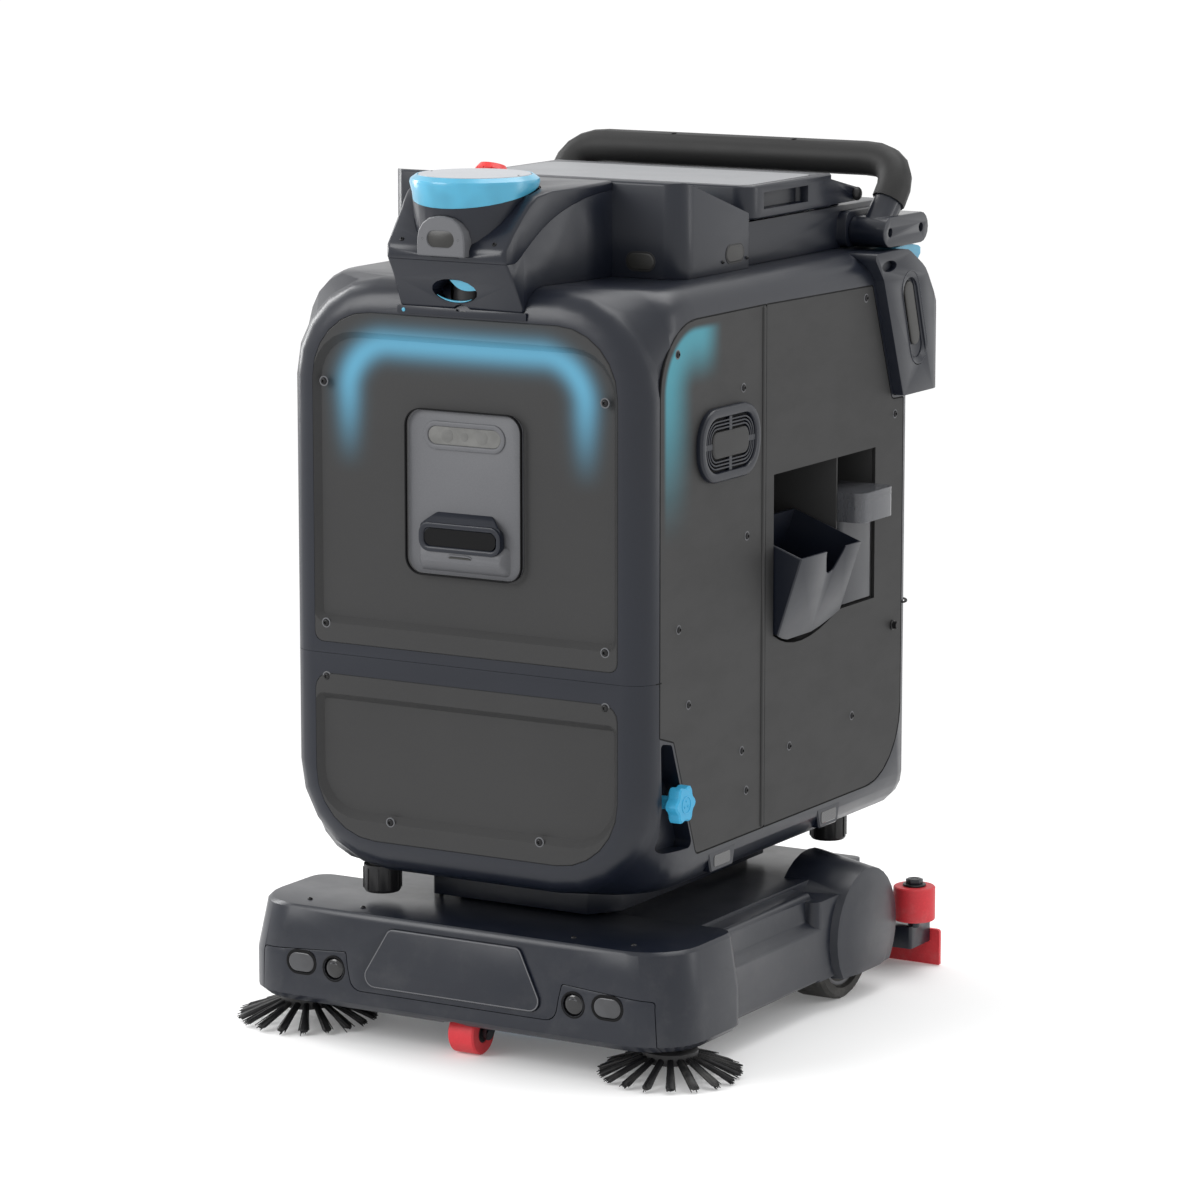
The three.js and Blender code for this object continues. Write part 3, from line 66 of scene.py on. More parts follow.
def facing(origin, normal, up=UP):
    """A place whose local z runs along normal and whose local y is as near to up as it can be."""
    z = Vector(normal).normalized()
    x = Vector(up).cross(z).normalized()
    matrix = Matrix((x, z.cross(x), z)).transposed().to_4x4()
    matrix.translation = Vector(origin)
    return matrix


# ---------------------------------------------------------------- materials

def link(tree, source, target):
    tree.links.new(source, target)


class Surface:
    """A principled material, with short calls for the nodes that vary it."""

    def __init__(self, name):
        self.material = bpy.data.materials.new(name)
        self.material.use_nodes = True
        self.tree = self.material.node_tree
        self.shader = self.tree.nodes["Principled BSDF"]
        self.object_space = self.node("ShaderNodeTexCoord").outputs["Object"]

    def node(self, kind, **settings):
        made = self.tree.nodes.new(kind)
        for key, value in settings.items():
            setattr(made, key, value)
        return made

    def plug(self, value, socket):
        if isinstance(value, bpy.types.NodeSocket):
            link(self.tree, value, socket)
        else:
            socket.default_value = value

    def math(self, operation, *values):
        made = self.node("ShaderNodeMath", operation=operation)
        for value, socket in zip(values, made.inputs):
            self.plug(value, socket)
        return made.outputs[0]

    def noise(self, scale, detail=3.0, roughness=0.55, stretch=(1, 1, 1)):
        mapping = self.node("ShaderNodeMapping")
        mapping.inputs["Scale"].default_value = stretch
        link(self.tree, self.object_space, mapping.inputs["Vector"])
        made = self.node("ShaderNodeTexNoise")
        made.inputs["Scale"].default_value = scale
        made.inputs["Detail"].default_value = detail
        made.inputs["Roughness"].default_value = roughness
        link(self.tree, mapping.outputs[0], made.inputs["Vector"])
        return made.outputs["Fac"]

    def ranged(self, value, low, high, to_low, to_high):
        made = self.node("ShaderNodeMapRange", interpolation_type="SMOOTHSTEP")
        self.plug(value, made.inputs["Value"])
        for socket, number in zip(("From Min", "From Max", "To Min", "To Max"), (low, high, to_low, to_high)):
            made.inputs[socket].default_value = number
        return made.outputs["Result"]

    def mix(self, factor, first, second):
        made = self.node("ShaderNodeMix", data_type="RGBA", blend_type="MIX")
        self.plug(factor, made.inputs[0])
        self.plug(first if isinstance(first, bpy.types.NodeSocket) else (*first, 1), made.inputs[6])
        self.plug(second if isinstance(second, bpy.types.NodeSocket) else (*second, 1), made.inputs[7])
        return made.outputs[2]

    def axis(self, index):
        made = self.node("ShaderNodeSeparateXYZ")
        link(self.tree, self.object_space, made.inputs[0])
        return made.outputs[index]

    def bump(self, height, distance, strength=1.0):
        made = self.node("ShaderNodeBump")
        made.inputs["Distance"].default_value = distance
        made.inputs["Strength"].default_value = strength
        link(self.tree, height, made.inputs["Height"])
        return made.outputs["Normal"]

    def set(self, **values):
        for key, value in values.items():
            socket = self.shader.inputs[key.replace("_", " ")]
            if isinstance(value, tuple) and len(value) == 3 and socket.type == "RGBA":
                value = (*value, 1)
            self.plug(value, socket)
        return self


def shade(colour, factor):
    return tuple(channel * factor for channel in colour)


DUST = (0.30, 0.29, 0.27)


def moulded(name, colour, roughness, grain=1500, depth=0.00003, tone=0.05, dust=0.04, **more):
    """Moulded plastic: a fine texture, a slow drift of tone, hand marks, and dust low down."""
    s = Surface(name)
    drift = s.noise(5.0, 2.0)
    speckle = s.noise(grain * 0.4, 2.0)
    base = s.mix(s.ranged(drift, 0.3, 0.7, 0.0, 1.0), shade(colour, 1 - tone), shade(colour, 1 + tone))
    base = s.mix(s.ranged(speckle, 0.35, 0.75, 0.0, 0.35), base, shade(colour, 1.25))
    low = s.ranged(s.axis(2), 0.02, 0.30, dust, 0.0)
    patch = s.math("MULTIPLY", low, s.ranged(s.noise(26.0, 5.0, 0.7), 0.45, 0.75, 0.0, 1.0))
    base = s.mix(patch, base, DUST)
    marks = s.noise(14.0, 6.0, 0.62, stretch=(1, 1, 2.5))
    rough = s.ranged(marks, 0.35, 0.7, roughness - 0.02, roughness + 0.03)
    s.set(Base_Color=base, Roughness=rough, Normal=s.bump(s.noise(grain, 2.0), depth, 0.6))
    s.set(Specular_IOR_Level=0.36)
    return s.set(**more)


def band_of_light(s, across, along, half_width, top, corner, foot, width):
    """How bright a rounded arch of light is: 1 on its line, fading sideways and down its legs."""
    u = s.math("SUBTRACT", s.math("ABSOLUTE", across), (half_width - corner))
    v = s.math("SUBTRACT", along, top - corner)
    outside = s.math("SQRT", s.math("ADD", s.math("POWER", s.math("MAXIMUM", u, 0.0), 2.0),
                                    s.math("POWER", s.math("MAXIMUM", v, 0.0), 2.0)))
    inside = s.math("MINIMUM", s.math("MAXIMUM", u, v), 0.0)
    away = s.math("ABSOLUTE", s.math("SUBTRACT", s.math("ADD", outside, inside), corner))
    glow = s.math("EXPONENT", s.math("MULTIPLY", s.math("POWER", s.math("DIVIDE", away, width), 2.0), -1.0))
    return s.math("MULTIPLY", glow, s.ranged(along, foot, top - 0.4 * corner, 0.0, 1.0))


def lit_front_panel(colour):
    s = moulded("front_panel_lit", colour, 0.52, dust=0.0)
    low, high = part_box("front_panel_upper")
    half = (high.x - low.x) / 2
    glow = band_of_light(s, s.axis(0), s.axis(2), half - 0.047, high.z - 0.036, 0.060, high.z - 0.200, 0.017)
    return lit(s, glow)


def lit(s, glow, strength=0.70, colour=(0.085, 0.31, 0.46)):
    """Adds light that shines through the surface where glow is above 0."""
    base = s.shader.inputs["Base Color"].links[0].from_socket
    s.set(Base_Color=s.mix(s.math("MULTIPLY", glow, 0.72), base, colour))
    s.set(Emission_Color=colour, Emission_Strength=s.math("MULTIPLY", glow, strength * 0.34))
    return s


def lit_side_panel(name, colour):
    s = moulded(name, colour, 0.52, dust=0.06)
    low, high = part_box("side_panel_front_right")
    corner = 0.085
    u = s.math("SUBTRACT", low.y + corner, s.axis(1))
    v = s.math("SUBTRACT", s.axis(2), high.z - corner)
    outside = s.math("SQRT", s.math("ADD", s.math("POWER", s.math("MAXIMUM", u, 0.0), 2.0),
                                    s.math("POWER", s.math("MAXIMUM", v, 0.0), 2.0)))
    inside = s.math("MINIMUM", s.math("MAXIMUM", u, v), 0.0)
    inwards = s.math("SUBTRACT", corner, s.math("ADD", outside, inside))
    sideways = s.math("MULTIPLY", s.ranged(inwards, 0.006, 0.016, 0.0, 1.0),
                      s.ranged(inwards, 0.016, 0.082, 1.0, 0.0))
    along = s.math("MULTIPLY", s.ranged(s.axis(1), low.y + 0.095, low.y + 0.150, 1.0, 0.0),
                   s.ranged(s.axis(2), high.z - 0.27, high.z - 0.05, 0.0, 1.0))
    return lit(s, s.math("MULTIPLY", sideways, along), 0.50, (0.045, 0.27, 0.34))


def metal(name, colour, roughness):
    s = Surface(name)
    brushed = s.noise(220.0, 3.0, 0.5, stretch=(1, 1, 14))
    base = s.mix(s.ranged(s.noise(30.0, 3.0), 0.3, 0.7, 0.0, 1.0), shade(colour, 0.8), shade(colour, 1.2))
    s.set(Base_Color=base, Metallic=1.0, Roughness=s.ranged(brushed, 0.3, 0.7, roughness - 0.07,
                                                            roughness + 0.1))
    return s.set(Normal=s.bump(brushed, 0.00002, 0.4))


def rubber(name, colour, roughness=0.62, grain=900, depth=0.00005):
    s = moulded(name, colour, roughness, grain, depth, tone=0.08, dust=0.16)
    return s.set(Specular_IOR_Level=0.3)


def luminous(name, colour, strength):
    """A translucent diffuser with lamps behind it, its brightness varying in soft clouds."""
    s = Surface(name)
    cloud = s.ranged(s.noise(18.0, 2.0), 0.3, 0.7, 0.0, 1.0)
    base = s.mix(cloud, shade(colour, 0.85), shade(colour, 1.1))
    s.set(Base_Color=base, Roughness=0.28, Coat_Weight=0.3, Coat_Roughness=0.15)
    s.set(Emission_Color=base, Emission_Strength=strength)
    return s.set(Subsurface_Weight=0.15, Subsurface_Radius=(0.01, 0.02, 0.03), Subsurface_Scale=0.5)


def dark_glass(name, colour, roughness=0.08, coat=0.6):
    s = Surface(name)
    haze = s.noise(40.0, 4.0, 0.6)
    base = s.mix(s.ranged(haze, 0.3, 0.7, 0.0, 1.0), shade(colour, 0.85), shade(colour, 1.2))
    s.set(Base_Color=base, Roughness=s.ranged(haze, 0.35, 0.7, roughness, roughness + 0.06))
    return s.set(Coat_Weight=coat, Coat_Roughness=0.04)


def clear_plastic(name, colour, roughness, transmission):
    s = Surface(name)
    flow = s.noise(60.0, 3.0, 0.5, stretch=(1, 1, 0.3))
    base = s.mix(s.ranged(flow, 0.3, 0.7, 0.0, 1.0), shade(colour, 0.94), shade(colour, 1.05))
    s.set(Base_Color=base, Roughness=s.ranged(flow, 0.3, 0.7, roughness, roughness + 0.08), IOR=1.46)
    return s.set(Transmission_Weight=transmission, Normal=s.bump(flow, 0.0001, 0.3))


SHELL = (0.0060, 0.0081, 0.0148)
PANEL = (0.0250, 0.0250, 0.0253)
# The side panel colour below is the panel colour darkened to about 0.71: painted shade, the side panels are
# the same plastic as the front panels, drawn darker because less light falls on the sides.
SHADED_SIDE_PANEL = (0.0178, 0.0178, 0.0180)
GREY = (0.105, 0.107, 0.115)

looks = {
    "shell": moulded("shell_plastic", SHELL, 0.33, depth=0.00001, Specular_IOR_Level=0.42, Coat_Weight=0.05,
                     Coat_Roughness=0.2),
    "panel": moulded("panel_plastic", PANEL, 0.54),
    "front": lit_front_panel(PANEL),
    "side": lit_side_panel("side_panel_lit_painted_shade", SHADED_SIDE_PANEL),
    "shaded_side_rear": moulded("side_panel_painted_shade", SHADED_SIDE_PANEL, 0.54),
    "grey": moulded("insert_plastic", GREY, 0.46, dust=0.0),
    "sensor": dark_glass("sensor_window", (0.017, 0.0165, 0.015), 0.34, 0.0),
    "pale_sensor": dark_glass("camera_window_glass", (0.125, 0.125, 0.12), 0.3, 0.1),
    "sensor_lens": dark_glass("sensor_lens", (0.108, 0.108, 0.104), 0.3, 0.1),
    "eye": dark_glass("bumper_window", (0.036, 0.037, 0.041), 0.3, 0.2),
    # Near-black filling for gaps, seams, slots and pocket walls: painted shade where those hollows fall into
    # shadow.
    "painted_shade": moulded("recess_painted_shade", (0.0035, 0.0035, 0.0040), 0.6, dust=0.0, tone=0.02,
                    Specular_IOR_Level=0.15),
    "glass": dark_glass("smoked_glass", (0.012, 0.012, 0.014)),
    "lens": dark_glass("lens_glass", (0.004, 0.004, 0.005), 0.12, 0.3),
    "black": moulded("black_plastic", (0.012, 0.012, 0.013), 0.42, dust=0.08),
    "socket": moulded("screw_blackened", (0.02, 0.02, 0.021), 0.35, dust=0.0, Metallic=0.6),
    "glow": luminous("light_diffuser", (0.055, 0.30, 0.45), 0.16),
    "pale": moulded("pale_plastic", (0.36, 0.37, 0.39), 0.42, dust=0.0, tone=0.03),
    "lid_top": moulded("lid_top_plastic", (0.21, 0.215, 0.225), 0.42, dust=0.0, tone=0.02),
    "stop": moulded("stop_red", (0.62, 0.03, 0.03), 0.34, dust=0.0, tone=0.04),
    "metal": metal("blackened_steel", (0.06, 0.06, 0.065), 0.36),
    "steel": metal("bare_steel", (0.42, 0.42, 0.43), 0.28),
    "handle": moulded("handle_paint", SHELL, 0.36, grain=2600, depth=0.00001, Coat_Weight=0.3, dust=0.0),
    "grip": rubber("grip_rubber", (0.016, 0.016, 0.016), 0.55, 1400, 0.00006),
    "tyre": rubber("tyre_rubber", (0.035, 0.034, 0.032), 0.72),
    "red": rubber("red_polyurethane", (0.56, 0.035, 0.045), 0.5),
    "bristle": rubber("nylon_bristle", (0.008, 0.008, 0.009), 0.45),
    "blue_bristle": rubber("blue_nylon", (0.03, 0.22, 0.42), 0.5),
    "blue": moulded("blue_plastic", (0.035, 0.33, 0.56), 0.40, dust=0.04, tone=0.05),
    "clear": clear_plastic("bottle_plastic", (0.055, 0.058, 0.066), 0.30, 0.30),
    "lid_clear": clear_plastic("bottle_lid_plastic", (0.15, 0.155, 0.17), 0.18, 0.5),
}


def look(name):
    return looks[name].material


# ---------------------------------------------------------------- rings and meshes

def rounded(width, height, radius, steps=6):
    """Rings of a rounded rectangle, moved inwards by an inset."""
    def ring(inset):
        w, h = max(width / 2 - inset, 0.02), max(height / 2 - inset, 0.02)
        r = min(max(radius - inset, 0.01), w, h)
        centres = [(w - r, h - r), (r - w, h - r), (r - w, r - h), (w - r, r - h)]
        return [(u + r * math.cos(a), v + r * math.sin(a))
                for quarter, (u, v) in enumerate(centres)
                for a in [(quarter + i / steps) * math.pi / 2 for i in range(steps + 1)]]
    return ring


def circle(radius, count=32):
    return lambda inset: [((radius - inset) * math.cos(2 * math.pi * i / count),
                           (radius - inset) * math.sin(2 * math.pi * i / count)) for i in range(count)]


def hexagon(flat, count):
    """A hexagon across its flats, drawn with as many points as the ring that it joins."""
    def ring(inset):
        points = []
        for i in range(count):
            angle = 2 * math.pi * i / count
            nearest = (angle + math.pi / 6) % (math.pi / 3) - math.pi / 6
            reach = (flat / 2 - inset) / math.cos(nearest)
            points.append((reach * math.cos(angle), reach * math.sin(angle)))
        return points
    return ring


class Piece:
    """One mesh object, gathered from solids in millimetres."""

    def __init__(self, name, material, body=ROOT, slot=None):
        self.name, self.look, self.body, self.slot = name, material, body, slot
        self.mesh = bmesh.new()

    def rows(self, rows, place=Matrix(), closed=False):
        """Joins rings of equal length; an open run is capped at both ends."""
        made = [[self.mesh.verts.new(place @ Vector(point)) for point in ring] for ring in rows]
        count = len(made[0])
        pairs = list(zip(made, made[1:] + made[:1])) if closed else list(zip(made, made[1:]))
        for first, second in pairs:
            for i in range(count):
                j = (i + 1) % count
                self.mesh.faces.new((first[i], first[j], second[j], second[i]))
        if not closed:
            self.mesh.faces.new(made[0][::-1])
            self.mesh.faces.new(made[-1])
        return self

    def profile(self, shape, rows, place=Matrix(), closed=False):
        """A shape swept through rows of (inset, height), or (inset, height, another shape)."""
        rings = [[(u, v, row[1]) for u, v in (row[2] if len(row) > 2 else shape)(row[0])] for row in rows]
        return self.rows(rings, place, closed)

    def tube(self, points, radius, sides=8, place=Matrix()):
        rings = []
        across = None
        for i, point in enumerate(points):
            along = (Vector(points[min(i + 1, len(points) - 1)]) - Vector(points[max(i - 1, 0)])).normalized()
            if across is None:
                across = along.orthogonal().normalized()
            across = (across - along * across.dot(along)).normalized()
            other = along.cross(across)
            r = radius[i] if isinstance(radius, (list, tuple)) else radius
            rings.append([Vector(point) + (across * math.cos(a) + other * math.sin(a)) * r
                          for a in [2 * math.pi * k / sides for k in range(sides)]])
        return self.rows(rings, place)

    def make(self, sharp=32, replaces=()):
        bmesh.ops.recalc_face_normals(self.mesh, faces=self.mesh.faces)
        bmesh.ops.scale(self.mesh, vec=(MM, MM, MM), verts=self.mesh.verts)
        data = bpy.data.meshes.new(self.name)
        self.mesh.to_mesh(data)
        self.mesh.free()
        data.materials.append(look(self.look))
        data.shade_smooth()
        data.set_sharp_from_angle(angle=math.radians(sharp))
        made = bpy.data.objects.new(self.name, data)
        bpy.context.scene.collection.objects.link(made)
        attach(made, self.body)
        if replaces:
            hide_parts(*replaces)
        return made


# ---------------------------------------------------------------- CAD nodes

def smoothing_group():
    """Smooth shading, sharp where two faces meet at more than the given angle."""
    group = bpy.data.node_groups.new("smooth_by_angle", "GeometryNodeTree")
    group.interface.new_socket("Geometry", in_out="INPUT", socket_type="NodeSocketGeometry")
    group.interface.new_socket("Geometry", in_out="OUTPUT", socket_type="NodeSocketGeometry")
    nodes = group.nodes
    start, end = nodes.new("NodeGroupInput"), nodes.new("NodeGroupOutput")
    edge = nodes.new("GeometryNodeInputMeshEdgeAngle")
    compare = nodes.new("FunctionNodeCompare")
    compare.data_type = "FLOAT"
    compare.operation = "LESS_EQUAL"
    compare.inputs["B"].default_value = math.radians(34)
    faces, edges = nodes.new("GeometryNodeSetShadeSmooth"), nodes.new("GeometryNodeSetShadeSmooth")
    faces.domain, edges.domain = "FACE", "EDGE"
    group.links.new(start.outputs[0], faces.inputs["Geometry"])
    group.links.new(faces.outputs[0], edges.inputs["Geometry"])
    group.links.new(edge.outputs["Unsigned Angle"], compare.inputs["A"])
    group.links.new(compare.outputs["Result"], edges.inputs["Shade Smooth"])
    group.links.new(edges.outputs[0], end.inputs[0])
    return group


SMOOTHING = smoothing_group()


def dress(node, material, bevel):
    """Gives a CAD node its material, welded smooth surfaces and softened edges."""
    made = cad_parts[node]
    made.data.materials.clear()
    made.data.materials.append(look(material))
    weld = made.modifiers.new("weld", "WELD")
    weld.merge_threshold = 0.00002
    if bevel:
        flat = made.modifiers.new("flat", "DECIMATE")
        flat.decimate_type = "DISSOLVE"
        flat.angle_limit = math.radians(1.0)
        soft = made.modifiers.new("soft", "BEVEL")
        soft.width = bevel * MM
        soft.segments = 2
        soft.limit_method = "ANGLE"
        soft.angle_limit = math.radians(36)
        soft.use_clamp_overlap = True
    smooth = made.modifiers.new("smooth", "NODES")
    smooth.node_group = SMOOTHING
    return made


# Material and edge softening of the nodes that keep their CAD shape.
DRESSED = (
    ("shell", 0.0, "upper_housing lower_housing pod_body"),
    ("front", 0.0, "front_panel_upper"),
    ("panel", 0.0, "front_panel_lower"),
    ("side", 0.0, "side_panel_front_right side_panel_front_left"),
    ("shaded_side_rear", 0.0, "side_panel_rear_right side_panel_rear_left"),
    ("grey", 0.0, "camera_insert pod_sensor_plate"),
    ("pale_sensor", 0.0, "camera_window"),
    ("black", 0.0,
     "speaker_right speaker_left lidar_turret drain_cap_front drain_cap_rear "
     "battery_pack"),
    ("panel", 0.8, "bay_liner rear_door"),
    ("shell", 1.2, "debris_bin"),
    ("clear", 0.0, "bottle"),
    ("lid_clear", 0.0, "bottle_lid"),
    ("shell", 0.8,
     "console face_plate tank tank_lid rear_pod_right rear_pod_left base_deck "
     "bumper_strip base_plate squeegee_frame pedestal"),
    ("glow", 0.0, "pod_light_ring rear_light_right rear_light_left"),
    ("pale", 0.0, "pod_cap solution_tank"),
    ("stop", 0.0, "stop_button"),
    ("glass", 0.0, "screen"),
    ("lid_top", 0.0, "lid_inlay"),
    ("metal", 0.0, "hinge_pin caster_fork pivot_bracket"),
    ("handle", 0.8, "handle_frame"),
    ("grip", 0.0, "handle_grip"),
    ("black", 0.8, "charge_dock"),
    ("tyre", 0.0, "drive_wheel_right drive_wheel_left"),
    ("red", 0.0, "caster_wheel squeegee_blade bumper_roller_right bumper_roller_left"),
    ("bristle", 0.0, "side_brush_right side_brush_left"),
    ("blue_bristle", 0.0, "scrub_brush"),
    ("blue", 0.0, "valve_knob"),
)
for material, bevel, nodes in DRESSED:
    for node in nodes.split():
        dress(node, material, bevel)


# ---------------------------------------------------------------- outlines

def traced(corners_):
    """Points of a closed outline from corners (u, v, radius)."""
    points = []
    count = len(corners_)
    for i, (u, v, radius) in enumerate(corners_):
        here = Vector((u, v))
        if not radius:
            points.append(here)
            continue
        before = (Vector(corners_[i - 1][:2]) - here).normalized()
        after = (Vector(corners_[(i + 1) % count][:2]) - here).normalized()
        half = math.acos(max(-1, min(1, before.dot(after)))) / 2
        centre = here + (before + after).normalized() * (radius / math.sin(half))
        start = here + before * (radius / math.tan(half)) - centre
        turn = (math.pi - 2 * half) * (1 if after.x * before.y - after.y * before.x > 0 else -1)
        steps = max(3, int(abs(turn) / math.pi * (24 if radius > 30 else 12)))
        for k in range(steps + 1):
            a = turn * k / steps
            points.append(centre + Vector((start.x * math.cos(a) - start.y * math.sin(a),
                                           start.x * math.sin(a) + start.y * math.cos(a))))
    area = sum(p.x * q.y - q.x * p.y for p, q in zip(points, points[1:] + points[:1]))
    return points if area > 0 else points[::-1]


def outlined(corners_):
    """Rings of a traced outline, moved inwards by an inset."""
    points = traced(corners_)

    def ring(inset):
        moved = []
        for i, point in enumerate(points):
            first = (point - points[i - 1]).normalized()
            second = (points[(i + 1) % len(points)] - point).normalized()
            inward = Vector((-first.y - second.y, first.x + second.x)).normalized()
            spread = max(0.5, inward.dot(Vector((-first.y, first.x))))
            moved.append(tuple(point + inward * (inset / spread)))
        return moved
    return ring


def shifted(shape, u, v):
    return lambda inset: [(a + u, b + v) for a, b in shape(inset)]


def rows_line(width, height, base=-0.4):
    """A flat strip of a width that stands height above its place, with rounded shoulders."""
    s = min(0.3, width / 3)
    return [(0, base), (0, height - s), (s, height), (width - s, height), (width, height - s), (width, base)]


# ---------------------------------------------------------------- fasteners

def button_screw(piece, place, radius=4.3):
    """A button-head screw with a hexagon socket."""
    head = circle(radius, 24)
    socket = hexagon(radius * 0.85, 24)
    piece.profile(head, [(0, -0.6), (0, 0.5), (0.35, 1.2), (1.3, 1.9), (radius * 0.45, 2.1),
                         (0, 2.05, socket), (0.15, 0.5, socket)], place)


# A flat pale ring round a screw head: painted highlight, the bright rim that light draws on a rounded screw
# head.
def pale_highlight_ring(piece, place, inner, outer, height=0.5):
    piece.profile(circle(outer, 28), rows_line(outer - inner, height), place, closed=True)


body_low, body_high = corners("upper_housing")
panel_low, panel_high = corners("front_panel_upper")
lower_low, lower_high = corners("front_panel_lower")
side_low, side_high = corners("side_panel_front_right")
rear_low, rear_high = corners("side_panel_rear_right")
FACE = panel_low.y
SIDE = side_high.x

SIDE_SCREWS = [(-124, 801), (-113.5, 620.5), (-279.5, 532), (-255.5, 438), (-124, 359), (-112.5, 308),
               (-2.5, 343), (163.5, 352), (274.5, 722), (192.5, 877), (-283.5, 858)]


def body_screws():
    screws = Piece("body_screws", "socket", slot="dark_metal")
    # The grey rings under the screw heads are painted highlight round each head.
    rings = Piece("body_screw_painted_highlights", "grey", slot="grey_insert")
    front = [(s * 195, z) for s in (-1, 1) for z in (panel_high.z - 86, panel_low.z + 23, lower_high.z - 4)]
    front += [(s * 105, lower_low.z + 26) for s in (-1, 1)]
    for x, z in front:
        place = facing((x, FACE + (0.3 if z != lower_high.z - 4 else 0.6), z), FRONT)
        pale_highlight_ring(rings, place, 4.4, 6.2, 0.35)
        button_screw(screws, place)
    for y, z in SIDE_SCREWS:
        for x, normal in ((SIDE, RIGHT), (-SIDE, LEFT)):
            place = facing((x, y, z), normal)
            pale_highlight_ring(rings, place, 4.2, 5.8, 0.3)
            button_screw(screws, place, 4.1)
    for x, normal in ((SIDE, RIGHT), (-SIDE, LEFT)):
        place = facing((x, rear_high.y - 24, 451), normal)
        screws.profile(circle(6.5, 28), [(0, -0.5), (0, 1.2), (1.6, 2.2), (1.8, 7), (2.4, 7.6)], place)
    screws.make(28)
    rings.make(28)


# ---------------------------------------------------------------- parting lines

def front_outline(low, high, low_radius, high_radius):
    half = panel_high.x
    return outlined([(-half, low, low_radius), (half, low, low_radius),
                     (half, high, high_radius), (-half, high, high_radius)])


def side_front_outline():
    split = side_high.y
    return outlined([(side_low.y, 409, 2), (side_low.y + 33, 399, 4), (-236.5, side_low.z, 8),
                     (split, side_low.z, 2), (split, side_high.z, 2), (side_low.y, side_high.z, 85)])


def side_rear_outline():
    return outlined([(rear_low.y, rear_low.z, 2), (rear_high.y, rear_low.z, 93), (rear_high.y, 741, 2),
                     (rear_high.y - 31.5, 742, 8), (209.5, rear_high.z - 4, 4), (rear_low.y, rear_high.z, 2)])


def flipped(shape):
    return lambda inset: [(-u, v) for u, v in shape(inset)]


def parting_lines():
    # Thin near-black strips along the panel outlines: painted shade in the gaps between the panels.
    lines = Piece("panel_gap_painted_shade", "painted_shade", slot="black_plastic")
    front = facing((0, FACE + 1.2, 0), FRONT)
    for shape in (front_outline(panel_low.z, panel_high.z, 12, 82),
                  front_outline(lower_low.z, lower_high.z, 84, 20)):
        lines.profile(shape, [(-1.4, -3), (-1.4, -0.3), (-0.2, -0.3), (-0.2, -3)], front, closed=True)
    for shape in (side_front_outline(), side_rear_outline()):
        for x, normal, turned_shape in ((SIDE, RIGHT, shape), (-SIDE, LEFT, flipped(shape))):
            place = facing((x, 0, 0), normal)
            lines.profile(turned_shape, [(-1.2, -2.5), (-1.2, 0.1), (-0.1, 0.1), (-0.1, -2.5)], place,
                          closed=True)
    lines.make(60)


# ---------------------------------------------------------------- camera insert on the front

